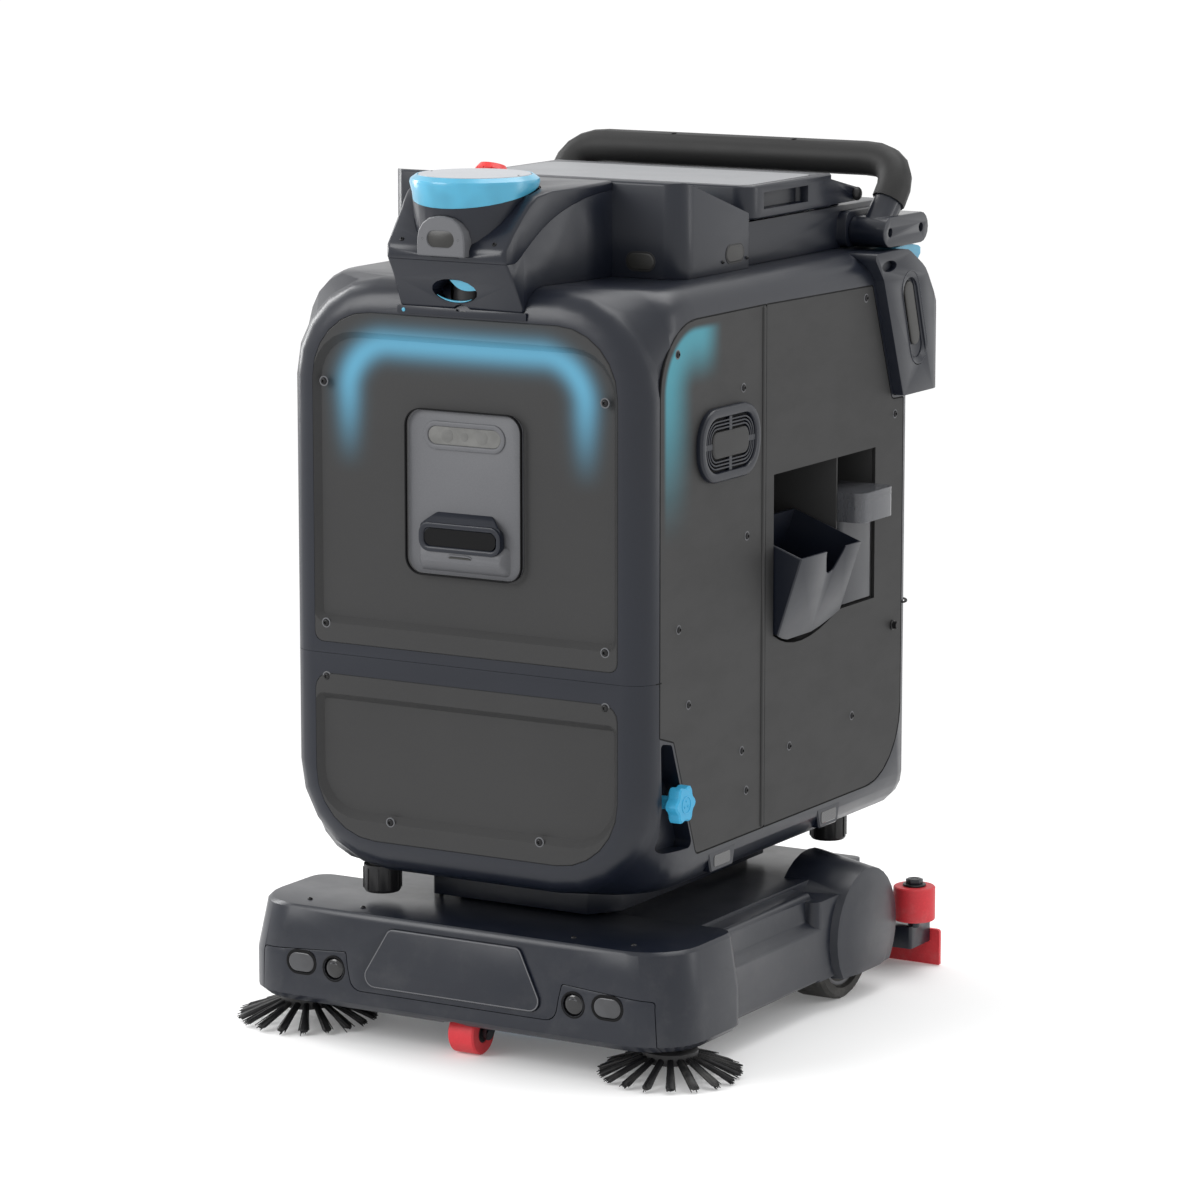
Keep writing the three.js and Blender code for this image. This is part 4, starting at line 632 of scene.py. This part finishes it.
def camera_insert():
    low, high = corners("camera_insert")
    width, height = high.x - low.x, high.z - low.z
    middle_z = (low.z + high.z) / 2
    front = corners("camera_window")[0].y
    place = facing((0, front, middle_z), FRONT)
    eye_z = high.z - 29.5 - middle_z

    plate = Piece("insert_plate", "grey", slot="grey_insert")
    plate.profile(rounded(width, height, 20, 8), [(0, -6), (0, -0.9), (0.3, -0.3), (0.9, 0)], place)
    rim = shifted(rounded(113, 34, 17, 10), 0, eye_z)
    plate.profile(rim, [(0, -0.5), (0, 1.0), (0.5, 1.7), (1.3, 2.0), (4.6, 2.0), (5.4, 1.7), (5.9, 1.0),
                        (6.2, -0.5)], place, closed=True)
    # The foot of the hood flares from the visor back to the plate, which it meets in a soft edge.
    foot = []
    stations = ((-1, 64, 4, 40), (0.4, 62.5, 5, 40), (4, 60, 8, 40), (10, 57, 15, 34), (12, 55, 18, 30))
    for depth, half, z0, z1 in stations:
        shape = shifted(rounded(2 * half, z1 - z0, 6, 5), 0, low.z - middle_z + (z0 + z1) / 2)
        foot.append([(u, v, depth) for u, v in shape(0)])
    plate.rows(foot, place)
    tilt = facing((0, front - 8.6, low.z + 20), (0, -1, -0.75))
    plate.profile(rounded(39, 18, 9, 8), [(0, -2), (0, 0.2), (0.4, 0.6), (1.2, 0.6), (1.6, 0.1)], tilt)
    plate.make(30, replaces=("camera_insert",))

    # A near-black ring round the insert and a near-black slot under the visor: painted shade in the gap and
    # in the slot.
    gap = Piece("insert_gap_painted_shade", "painted_shade", slot="black_plastic")
    skin = front - FACE + 0.3
    gap.profile(rounded(width + 3.0, height + 3.0, 21.5, 8),
                [(0, skin - 4), (0, skin), (1.4, skin), (1.4, skin - 4)], place, closed=True)
    slot_place = facing((0, front - 14, low.z + 47), FRONT)
    gap.profile(rounded(99, 21, 9, 6), [(0, -12), (0, -1.6)], slot_place)
    gap.make(40)

    visor = Piece("visor", "shell", slot="shell")
    visor.profile(rounded(114, 35, 14, 10),
                  [(0, -10), (-0.3, -5), (0, -1.2), (0.5, -0.3), (1.4, 0), (4.6, 0), (5.8, -0.6),
                   (7.0, -2.4), (7.4, -5), (7.4, -10)], slot_place, closed=True)
    roof = []
    for depth, half, top in ((-15, 40, 29), (-13.4, 42, 28.4), (-8, 49, 23), (-2.4, 55.5, 17)):
        shape = shifted(rounded(2 * half, 12, 5, 5), 0, top - 6)
        roof.append([(u, v, depth) for u, v in shape(0)])
    visor.rows(roof, slot_place)
    visor.make(30)

    window = Piece("camera_window_glass", "pale_sensor", slot="grey_insert")
    window.profile(shifted(rounded(100.6, 21.6, 10.8, 10), 0, eye_z),
                   [(0, -1.5), (0, 0.2), (0.5, 0.5)], place)
    window.make(30, replaces=("camera_window",))
    lenses = Piece("camera_lenses", "sensor_lens", slot="dark_glass")
    for u, radius in ((-24, 8.2), (0, 5.2), (24, 8.2)):
        lenses.profile(shifted(circle(radius, 28), u, eye_z),
                       [(0, 0.3), (0, 0.62), (0.6, 0.75), (radius * 0.5, 0.7)], place)
    lenses.make(30)
    small = Piece("hood_sensor", "sensor", slot="dark_glass")
    small.profile(rounded(35, 14, 7, 8), [(0, 0.1), (0, 0.9), (0.5, 1.1)], tilt)
    small.make(30)


# ---------------------------------------------------------------- speaker grilles

def speakers():
    for side, x_sign, normal in (("right", 1, RIGHT), ("left", -1, LEFT)):
        low, high = corners("speaker_" + side)
        width, height = high.y - low.y, high.z - low.z
        centre = middle("speaker_" + side)
        place = facing((x_sign * SIDE, centre.y, centre.z), normal)
        shape = rounded(width, height, 40, 10)
        bezel = Piece("speaker_bezel_" + side, "shell", slot="shell")
        bezel.profile(shape, [(0, -0.3), (0, 4.5), (0.6, 6.2), (2.2, 7.6), (4.5, 8.0), (9.0, 8.0), (11, 7.2),
                              (12, 5.6), (12.4, 1.0), (12.4, -0.3)], place, closed=True)
        bezel.make(30, replaces=("speaker_" + side,))
        grille = Piece("speaker_grille_" + side, "shell", slot="black_plastic")
        # A near-black floor behind the grille rings: painted shade between them.
        well = Piece("speaker_well_painted_shade_" + side, "painted_shade", slot="black_plastic")
        well.profile(shape, [(12.0, -0.3), (12.0, 1.6)], place)
        well.make(30)
        for inset in (15.2, 19.4, 23.6):
            grille.profile(shape, [(inset, 1.0), (inset, 5.4), (inset + 0.5, 5.9), (inset + 1.7, 5.9),
                                   (inset + 2.2, 5.4), (inset + 2.2, 1.0)], place, closed=True)
        for u, v, w, h in ((0, height / 2 - 20.5, 7, 17), (0, 20.5 - height / 2, 7, 17),
                           (width / 2 - 20.5, 0, 17, 7), (20.5 - width / 2, 0, 17, 7)):
            grille.profile(shifted(rounded(w, h, 1.2, 3), u, v), [(0, 1), (0, 5.4), (0.4, 5.8)], place)
        grille.make(30)
        pad = Piece("speaker_pad_" + side, "panel", slot="panel")
        pad.profile(shape, [(28.4, 1), (28.4, 4.8), (28.9, 6.0), (30.4, 6.9), (32.4, 7.1)], place)
        pad.make(30)


# ---------------------------------------------------------------- head of the machine

def small_sensor(name, place, width, height):
    """A stadium window in a thin dark bezel."""
    bezel = Piece(name + "_bezel", "black", slot="black_plastic")
    bezel.profile(rounded(width + 4, height + 4, (height + 4) / 2, 8),
                  [(0, -2), (0, 0.2), (0.4, 0.6)], place)
    bezel.make(30)
    glass = Piece(name, "sensor", slot="dark_glass")
    glass.profile(rounded(width, height, height / 2, 8),
                  [(0, 0), (0, 0.7), (0.6, 1.1), (2.2, 1.3)], place)
    glass.make(30)


def head_details():
    plate_low, plate_high = corners("pod_sensor_plate")
    centre_x = (plate_low.x + plate_high.x) / 2
    front = plate_low.y
    glass = Piece("pod_sensor_window", "sensor", slot="dark_glass")
    glass.profile(rounded(37, 20, 10, 10), [(0, -6), (0, -1.2), (0.6, -0.9)],
                  facing((centre_x, front, 990), FRONT))
    glass.make(30)
    screws = Piece("head_screws", "socket", slot="dark_metal")
    for s in (-1, 1):
        button_screw(screws, facing((centre_x + s * 24.5, front + 2.06, 990), FRONT), 2.6)
        button_screw(screws, facing((s * 63.5, -386.2, 985.5), (0, -1, 0.85)), 2.8)
        cap_low, cap_high = corners("pod_cap")
        button_screw(screws, facing((s * 60, (cap_low.y + cap_high.y) / 2, cap_high.z - 1.7), UP, REAR), 2.2)
    wing = corners("console")[1].x
    wing_front = -194.5
    for s, side, normal in ((1, "right", RIGHT), (-1, "left", LEFT)):
        small_sensor("wing_side_sensor_" + side, facing((s * wing, -67, 954), normal), 42, 20)
        small_sensor("wing_front_sensor_" + side, facing((s * 148.5, wing_front, 953), FRONT), 37, 20)
        for y in (-97, -37):
            button_screw(screws, facing((s * wing, y, 946), normal), 2.2)
    screws.make(28)

    # Light in the oval mouth: a lens shape at its upper right, and a thin arc along its lower edge.
    mouth_x, mouth_z = -3, 926
    chin_y, chin_z, chin_slope = -374.5, 939, 18 / 35

    def on_chin(u, v, depth):
        z = mouth_z + v
        return (mouth_x + u, chin_y + (chin_z - z) * chin_slope + depth, z)

    arc = Piece("mouth_light_arc", "glow", slot="light_blue")
    angles = [math.radians(205 + 110 * i / 20) for i in range(21)]
    points = [on_chin(28.6 * math.cos(a), 13.2 * math.sin(a), 0.4) for a in angles]
    arc.tube(points, [0.3 + 0.9 * math.sin(math.pi * i / 20) for i in range(21)], 8)
    angles = [math.radians(100 - 92 * i / 14) for i in range(15)]
    rim = [(29.4 * math.cos(a), 13.4 * math.sin(a)) for a in angles]
    (u0, v0), (u1, v1) = rim[0], rim[-1]
    chord = [(u1 + (u0 - u1) * t - 5 * math.sin(math.pi * t), v1 + (v0 - v1) * t - 6 * math.sin(math.pi * t))
             for t in [i / 10 for i in range(1, 10)]]
    arc.rows([[on_chin(u, v, depth) for u, v in rim + chord] for depth in (6.0, 4.5)])
    arc.make(60)
    dot = Piece("status_dot", "glow", slot="light_blue")
    dot.profile(circle(2.4, 20), [(0, -1), (0, 0.4), (0.6, 0.8)],
                facing((-80, FACE - 1.0, panel_high.z + 7), FRONT))
    dot.make(40)


def rear_pod_windows():
    lean = math.atan2(30, 92)
    for s, side, normal in ((1, "right", RIGHT), (-1, "left", LEFT)):
        low, high = corners("rear_pod_" + side)
        outer = high.x if s > 0 else low.x
        y, z = low.y + 108.5, low.z + 97
        place = facing((outer - s * 5, y, z), normal, (0, -math.sin(lean), math.cos(lean)))
        lens = Piece("rear_pod_window_" + side, "sensor", slot="dark_glass")
        lens.profile(shifted(rounded(24, 86, 12, 10), 0, 6),
                     [(0, -0.5), (0, 1.6), (0.8, 2.6), (3, 3.0), (7, 3.2)], place)
        lens.make(30)
        rim = Piece("rear_pod_window_rim_" + side, "shell", slot="shell")
        rim.profile(rounded(48, 126, 24, 10),
                    [(0, 4.0), (0.2, 5.2), (0.8, 5.5), (1.8, 5.2), (8.6, 1.4), (9.0, -0.5)],
                    place, closed=True)
        rim.make(30)
        crest = Piece("rear_light_crest_" + side, "glow", slot="light_blue")
        x0, x1 = (high.x - 52, high.x - 14) if s > 0 else (low.x + 14, low.x + 52)
        path = [(-24, -2), (-4, 2.0), (18, 3.2), (38, 2.0), (52, -2), (58, -7), (58, -20), (38, -16),
                (18, -16), (-4, -14), (-24, -10)]
        rings = [[(x, low.y + 92 + a, high.z - 0.5 + b * k) for a, b in path] for x, k in
                 ((x0, 0.6), (x0 + 4, 1.0), (x1 - 4, 1.0), (x1, 0.6))]
        crest.rows(rings)
        crest.make(40)


# ---------------------------------------------------------------- bay, bottle and valve

def bay_details():
    fitting = Piece("bottle_fitting", "steel", slot="dark_metal")
    rows = [(0, 0)]
    for i in range(5):
        rows += [(0, 1 + i * 5), (1.2, 1.6 + i * 5), (1.2, 3.4 + i * 5), (0, 4 + i * 5)]
    rows += [(3, 28), (5, 34)]
    fitting.profile(circle(10, 28), rows, facing((corners("bay_liner")[0].x + 3, 176, 666), RIGHT))
    fitting.make(30)

    knob_high = corners("valve_knob")[1]
    centre = middle("valve_knob")
    mark = Piece("knob_mark", "blue", "valve", "blue_plastic")
    place = facing((knob_high.x, centre.y, centre.z), RIGHT)
    mark.profile(circle(11, 32), [(0, -0.5), (0.2, 0.5), (0.6, 0.7), (1.4, 0.7), (1.8, 0.5), (2, -0.5)],
                 place, closed=True)
    for a in range(3):
        angle = math.radians(90 + 120 * a)
        mark.profile(shifted(circle(1.7, 12), 4.6 * math.cos(angle), 4.6 * math.sin(angle)),
                     [(0, -0.5), (0, 0.4), (0.5, 0.8)], place)
    mark.make(30)

    for s, normal in ((1, RIGHT), (-1, LEFT)):
        for i, y in enumerate((-170.5, 104.5)):
            name = "proximity_window_%s_%d" % ("right" if s > 0 else "left", i)
            glass = Piece(name, "glass", slot="dark_glass")
            glass.profile(rounded(40, 15, 4, 5), [(0, -1), (0, 0.3), (0.5, 0.6)],
                          facing((s * (SIDE - 1), y, 235), normal))
            glass.make(30)


def screen_icons():
    low, high = corners("screen")
    slope = Vector((0, high.y - low.y, -(high.z - low.z) + 3.6)).normalized()
    normal = Vector((0, -slope.z, slope.y))
    centre = (low + high) / 2
    place = facing(centre + normal * 1.4, normal, slope)
    icons = Piece("screen_icons", "glow", slot="light_blue")
    for u, v, w, h in ((-60, 12, 40, 26), (-8, 12, 40, 26), (44, 12, 40, 26), (-8, -24, 144, 8)):
        icons.profile(shifted(rounded(w, h, 4, 4), u, v), [(0, -0.8), (0, 0.35), (0.2, 0.45)], place)
    icons.make(40)


# ---------------------------------------------------------------- base

def base_lamps():
    pocket_floor = corners("bumper_strip")[0].y + 4.2
    lamp = Piece("bumper_lamps", "lens", "bumper", "dark_glass")
    # Near-black rings round each lamp and each sensor window: painted shade on the walls of their pockets.
    ring = Piece("bumper_lamp_pocket_painted_shade", "painted_shade", "bumper", "black_plastic")
    painted_glint = Piece("bumper_lamp_painted_highlights", "grey", "bumper", "grey_insert")
    for s in (-1, 1):
        place = facing((s * 169, pocket_floor, 91.5), FRONT)
        ring.profile(circle(16.4, 40),
                     [(0, -0.8), (0, 4.2), (0.4, 4.6), (1.6, 4.7), (2.6, 3.8), (3.0, -0.8)],
                     place, closed=True)
        lamp.profile(circle(13.2, 40), [(0, -0.8), (0, 1.6), (1.2, 3.0), (3.4, 4.0), (6.4, 4.5), (9, 4.6)],
                     place)
        # Nine pale grey spots in an arc on each lens: a painted highlight, the crescent of light reflected on
        # the dark lens.
        for i in range(9):
            a = math.radians(50 + i * 10)
            spot = circle(0.3 + 1.1 * math.sin(math.pi * (i + 0.5) / 9), 10)
            painted_glint.profile(shifted(spot, 7.6 * math.cos(a), 7.6 * math.sin(a)), [(0, 3.0), (0, 4.7)], place)
        pocket = facing((s * 216, pocket_floor, 94), FRONT)
        ring.profile(rounded(44, 31, 15.5, 10), [(0, -0.8), (0, 4.2), (0.4, 4.6), (2.2, 4.6), (2.8, 4.2)],
                     pocket)
    ring.make(30)
    lamp.make(30)
    painted_glint.make(30)
    eyes = Piece("bumper_sensor_windows", "eye", "bumper", "dark_glass")
    for s in (-1, 1):
        eyes.profile(rounded(36, 23, 11.5, 10), [(0, -0.5), (0, 4.4), (0.6, 4.8), (2, 5.0)],
                     facing((s * 216, pocket_floor, 94), FRONT))
    eyes.make(30)


def plate_outline():
    return outlined([(-133, 76, 14), (133, 76, 14), (92, 150, 10), (-92, 150, 10)])


def drafted(shape, front, inset, proud):
    """A ring on the base's front face, which leans back above its middle."""
    knee, lean = 98, 8 / 61
    return [(u, front - proud + max(0, v - knee) * lean, v) for u, v in shape(inset)]


def base_details():
    front = corners("base_plate")[0].y
    # A thin pale grey strip round the plate's outline: painted highlight along the plate's edges.
    edge = Piece("base_plate_painted_highlight", "grey", slot="grey_insert")
    section = ((0.5, -1.5), (0.6, 0.25), (1.9, 0.25), (2.0, -1.5))
    edge.rows([drafted(plate_outline(), front, inset, proud) for inset, proud in section], closed=True)
    edge.make(50)
    screws = Piece("deck_screws", "socket", slot="dark_metal")
    deck_top = 163
    for x, y in ((149, -352), (229, -348), (-149, -352), (-229, -348)):
        button_screw(screws, facing((x, y, deck_top), UP, REAR), 3.4)
    for s in (-1, 1):
        button_screw(screws, facing((s * 118, corners("pedestal")[0].y + 30, deck_top), UP, REAR), 3.0)
    screws.make(28)


def body_lines():
    """A near-black strip of painted shade in the seam at the body's corners, the ridges on the side panels
    and the lid's hinge bolts.
    """
    seam = Piece("body_seam_painted_shade", "painted_shade", slot="black_plastic")
    half, z = body_high.x, corners("lower_housing")[1].z + 0.2
    y0, y1 = body_low.y + 0.5, body_high.y
    steps = 10
    plan = rounded(2 * half, y1 - y0, 36, steps)
    section = [((a, b, z - 0.8), (a, b, z + 0.8), (c, d, z + 0.8), (c, d, z - 0.8))
               for (a, b), (c, d) in zip(plan(-0.25), plan(3))]
    centre = Matrix.Translation((0, (y0 + y1) / 2, 0))
    for first in range(0, len(section), steps + 1):
        seam.rows(section[first:first + steps + 1], centre)
    seam.make(60)
    ridge = Piece("side_panel_ridges", "shaded_side_rear", slot="panel")
    for x, normal in ((SIDE, RIGHT), (-SIDE, LEFT)):
        place = facing((x, side_high.y - 5, (side_low.z + side_high.z) / 2), normal)
        ridge.profile(rounded(8, side_high.z - side_low.z - 3, 2, 4),
                      [(0, -0.5), (0, 0.5), (1.4, 1.5), (2.4, 1.7)], place)
    ridge.make(30)
    bolts = Piece("lid_hinge_bolts", "black", "lid", "black_plastic")
    low, high = corners("hinge_pin")
    centre = middle("hinge_pin")
    for x, normal in ((high.x, RIGHT), (low.x, LEFT)):
        place = facing((x - 2 if x > 0 else x + 2, centre.y, centre.z), normal)
        bolts.profile(circle(8.6, 24), [(0, -0.5), (0, 1.2), (0.3, 2.2), (2.2, 4.6), (4.6, 5.6), (7, 6.0)],
                      place)
    bolts.make(30)


def tuft(piece, place, rng, length=60, bristles=20, spread=0.055, radius=0.85):
    """A dense tuft of bristles from the origin along +X, ragged and fanned at its end."""
    stations = ((-2, 3.6, 3.2), (length * 0.5, 4.8, 3.4), (length * 0.9, 6.0, 3.2), (length * 0.95, 4.4, 1.8))
    turns = [2 * math.pi * k / 10 for k in range(10)]
    piece.rows([[(x, w * math.cos(a), t * math.sin(a)) for a in turns] for x, w, t in stations], place)
    for _ in range(bristles):
        side = rng.uniform(-1, 1) * spread
        drop = rng.uniform(-1, 1) * 0.05
        reach = length * rng.uniform(0.90, 1.0)
        y0, z0 = rng.uniform(-3.6, 3.6), rng.uniform(-2.2, 2.2)
        bend = rng.uniform(-1.2, 1.2)
        points = [(0, y0, z0), (reach * 0.5, y0 + reach * side * 0.45, z0 + reach * drop * 0.4 + 0.5),
                  (reach, y0 + reach * side + bend, z0 + reach * drop)]
        piece.tube(points, [radius, radius, radius * 0.7], 5, place)


def side_brushes():
    for s, side in ((1, "right"), (-1, "left")):
        low, high = corners("side_brush_" + side)
        centre = (low + high) / 2
        at = Matrix.Translation((centre.x, centre.y, 0))
        hub = Piece("side_brush_hub_" + side, "black", "brush_" + side, "black_plastic")
        hub.profile(circle(34, 40), [(6, 18), (1, 20), (0, 24), (0.5, 33), (3, 36), (20, 45), (24, 47),
                                     (24, 100)], at)
        hub.make(30, replaces=("side_brush_" + side,))
        rng = random.Random(11 if s > 0 else 12)
        tufts = Piece("side_brush_tufts_" + side, "bristle", "brush_" + side, "bristle")
        count = 18
        for i in range(count):
            angle = 2 * math.pi * i / count
            drop = math.atan2(23, 60)
            root = Matrix.Rotation(angle, 4, "Z") @ Matrix.Translation((27, 0, 28))
            tuft(tufts, at @ root @ Matrix.Rotation(drop, 4, "Y"), rng, length=65)
        tufts.make(60)


def scrub_tufts():
    centre = middle("scrub_brush")
    rng = random.Random(5)
    tufts = Piece("scrub_bristles", "blue_bristle", "scrubber", "bristle")
    for radius, count in ((60, 26), (82, 34), (104, 42), (126, 50), (142, 56)):
        for i in range(count):
            angle = 2 * math.pi * (i + 0.3 * rng.random()) / count
            x, y = centre.x + radius * math.cos(angle), centre.y + radius * math.sin(angle)
            lean = Vector((rng.uniform(-1, 1), rng.uniform(-1, 1), 0)) * 1.5
            tufts.tube([(x, y, 22), (x + lean.x, y + lean.y, 2.2)], [2.6, 3.2], 7)
    tufts.make(60)


def casters_and_rollers():
    wheel = middle("caster_wheel")
    low, high = corners("caster_wheel")
    hub = Piece("caster_hub", "black", "caster_roll", "black_plastic")
    for s, normal in ((1, RIGHT), (-1, LEFT)):
        place = facing((s * (high.x - 3.4), wheel.y, wheel.z), normal)
        hub.profile(circle(13, 32), [(0, -0.5), (0, 1.6), (0.8, 2.4), (3.4, 2.6), (4.4, 1.6), (5.6, 1.4)],
                    place)
    hub.make(30)
    bolts = Piece("roller_bolts", "socket", "squeegee", "dark_metal")
    washers = Piece("roller_washers", "black", "squeegee", "black_plastic")
    for side in ("right", "left"):
        low, high = corners("bumper_roller_" + side)
        centre = (low + high) / 2
        place = Matrix.Translation((centre.x, centre.y, high.z))
        washers.profile(circle(15, 32), [(6, 0.6), (0, 0.8), (0, 2.2), (0.6, 2.8), (4, 2.9), (6, 2.9)], place)
        socket = hexagon(9, 28)
        bolts.profile(circle(9.4, 28), [(0, 2.4), (0, 8.6), (0.8, 9.4), (3, 9.6), (0, 9.6, socket),
                                        (0.2, 5, socket)], place)
    washers.make(30)
    bolts.make(30)


def drive_wheels():
    for s, side, normal in ((1, "right", RIGHT), (-1, "left", LEFT)):
        low, high = corners("drive_wheel_" + side)
        centre = (low + high) / 2
        outer = high.x if s > 0 else low.x
        place = facing((outer, centre.y, centre.z), normal)
        rim = Piece("wheel_rim_" + side, "grey", "drive_wheel_%s_body" % side, "grey_insert")
        rim.profile(circle(55, 48), [(0, -8), (0.6, -4.8), (2.4, -4.2), (5, -5), (12, -7.6), (30, -7.6),
                                     (33, -4.4), (40, -4.0)], place)
        rim.make(30)
        lugs = Piece("wheel_lugs_" + side, "socket", "drive_wheel_%s_body" % side, "dark_metal")
        for i in range(5):
            a = 2 * math.pi * i / 5
            lugs.profile(shifted(hexagon(11, 12), 32 * math.cos(a), 32 * math.sin(a)),
                         [(0, -8), (0, -3.4), (0.8, -2.6)], place)
        lugs.make(30)
        tread = Piece("wheel_tread_" + side, "tyre", "drive_wheel_%s_body" % side, "tyre_rubber")
        radius, width = centre.z, 52
        for i in range(44):
            a = 2 * math.pi * i / 44
            for row in (-1, 1):
                b = a + row * 0.018
                u, v = (radius - 1.4) * math.cos(b), (radius - 1.4) * math.sin(b)
                block = place @ Matrix.Translation((u, v, -width / 2 + row * 12.5))
                block = block @ Matrix.Rotation(b, 4, "Z")
                tread.rows([[(-1.5, -3.4, -9), (-1.5, 3.4, -9), (-1.5, 3.4, 9), (-1.5, -3.4, 9)],
                            [(1.2, -3.0, -8.6), (1.2, 3.0, -8.6), (1.2, 3.0, 8.6), (1.2, -3.0, 8.6)]], block)
        tread.make(30)


body_screws()
parting_lines()
camera_insert()
speakers()
head_details()
rear_pod_windows()
bay_details()
screen_icons()
base_lamps()
base_details()
body_lines()
side_brushes()
scrub_tufts()
casters_and_rollers()
drive_wheels()


# ---------------------------------------------------------------- floor, light and camera

def floor_material():
    """Pale near the machine, and as bright as the room beyond it."""
    s = Surface("studio_floor")
    base = s.mix(s.ranged(s.noise(2.0), 0.3, 0.7, 0.0, 1.0), (0.84, 0.84, 0.84), (0.86, 0.86, 0.86))
    away = s.node("ShaderNodeVectorMath", operation="LENGTH")
    link(s.tree, s.object_space, away.inputs[0])
    far = s.ranged(away.outputs["Value"], 0.55, 1.5, 0.0, 1.0)
    base = s.mix(far, base, (0.0, 0.0, 0.0))
    s.set(Base_Color=base, Roughness=0.8, Specular_IOR_Level=0.1)
    return s.set(Emission_Color=(1.0, 1.0, 1.0), Emission_Strength=s.ranged(far, 0.0, 1.0, 0.12, 1.0))


def studio():
    looks["floor"] = floor_material()
    mesh = bpy.data.meshes.new("floor")
    reach = 60
    ends = [(-reach, -reach, 0), (reach, -reach, 0), (reach, reach, 0), (-reach, reach, 0)]
    mesh.from_pydata(ends, [], [(0, 1, 2, 3)])
    mesh.materials.append(look("floor"))
    floor = bpy.data.objects.new("floor", mesh)
    bpy.context.scene.collection.objects.link(floor)

    world = bpy.data.worlds.new("studio_white")
    world.use_nodes = True
    world.node_tree.nodes["Background"].inputs["Color"].default_value = (1, 1, 1, 1)
    world.node_tree.nodes["Background"].inputs["Strength"].default_value = 1.0
    bpy.context.scene.world = world

    def softbox(name, place, target, width, height, power):
        data = bpy.data.lights.new(name, "AREA")
        data.shape = "RECTANGLE"
        data.size, data.size_y, data.energy = width, height, power
        lamp = bpy.data.objects.new(name, data)
        lamp.location = place
        lamp.rotation_euler = (Vector(target) - Vector(place)).to_track_quat("-Z", "Y").to_euler()
        bpy.context.scene.collection.objects.link(lamp)

    softbox("front_softbox", (-2.4, -3.6, 2.6), (0, 0, 0.5), 2.2, 2.2, 92)
    softbox("top_softbox", (0.4, 1.0, 3.4), (0, 0, 0.5), 2.0, 2.0, 36)
    softbox("right_strip", (3.4, 1.6, 1.5), (0, 0, 0.5), 0.7, 2.6, 17)
    softbox("left_strip", (-3.2, 0.2, 1.8), (0, 0, 0.5), 0.7, 2.6, 60)


def camera():
    data = bpy.data.cameras.new("camera")
    data.lens, data.sensor_width = 145.9, 36
    data.clip_end = 60
    made = bpy.data.objects.new("camera", data)
    target = Vector((0, -0.0365, 0.508))
    made.location = (3.015, -5.171, 1.568)
    made.rotation_euler = (target - made.location).to_track_quat("-Z", "Y").to_euler()
    bpy.context.scene.collection.objects.link(made)
    bpy.context.scene.camera = made
    bpy.context.scene.view_settings.view_transform = "Standard"


studio()
camera()
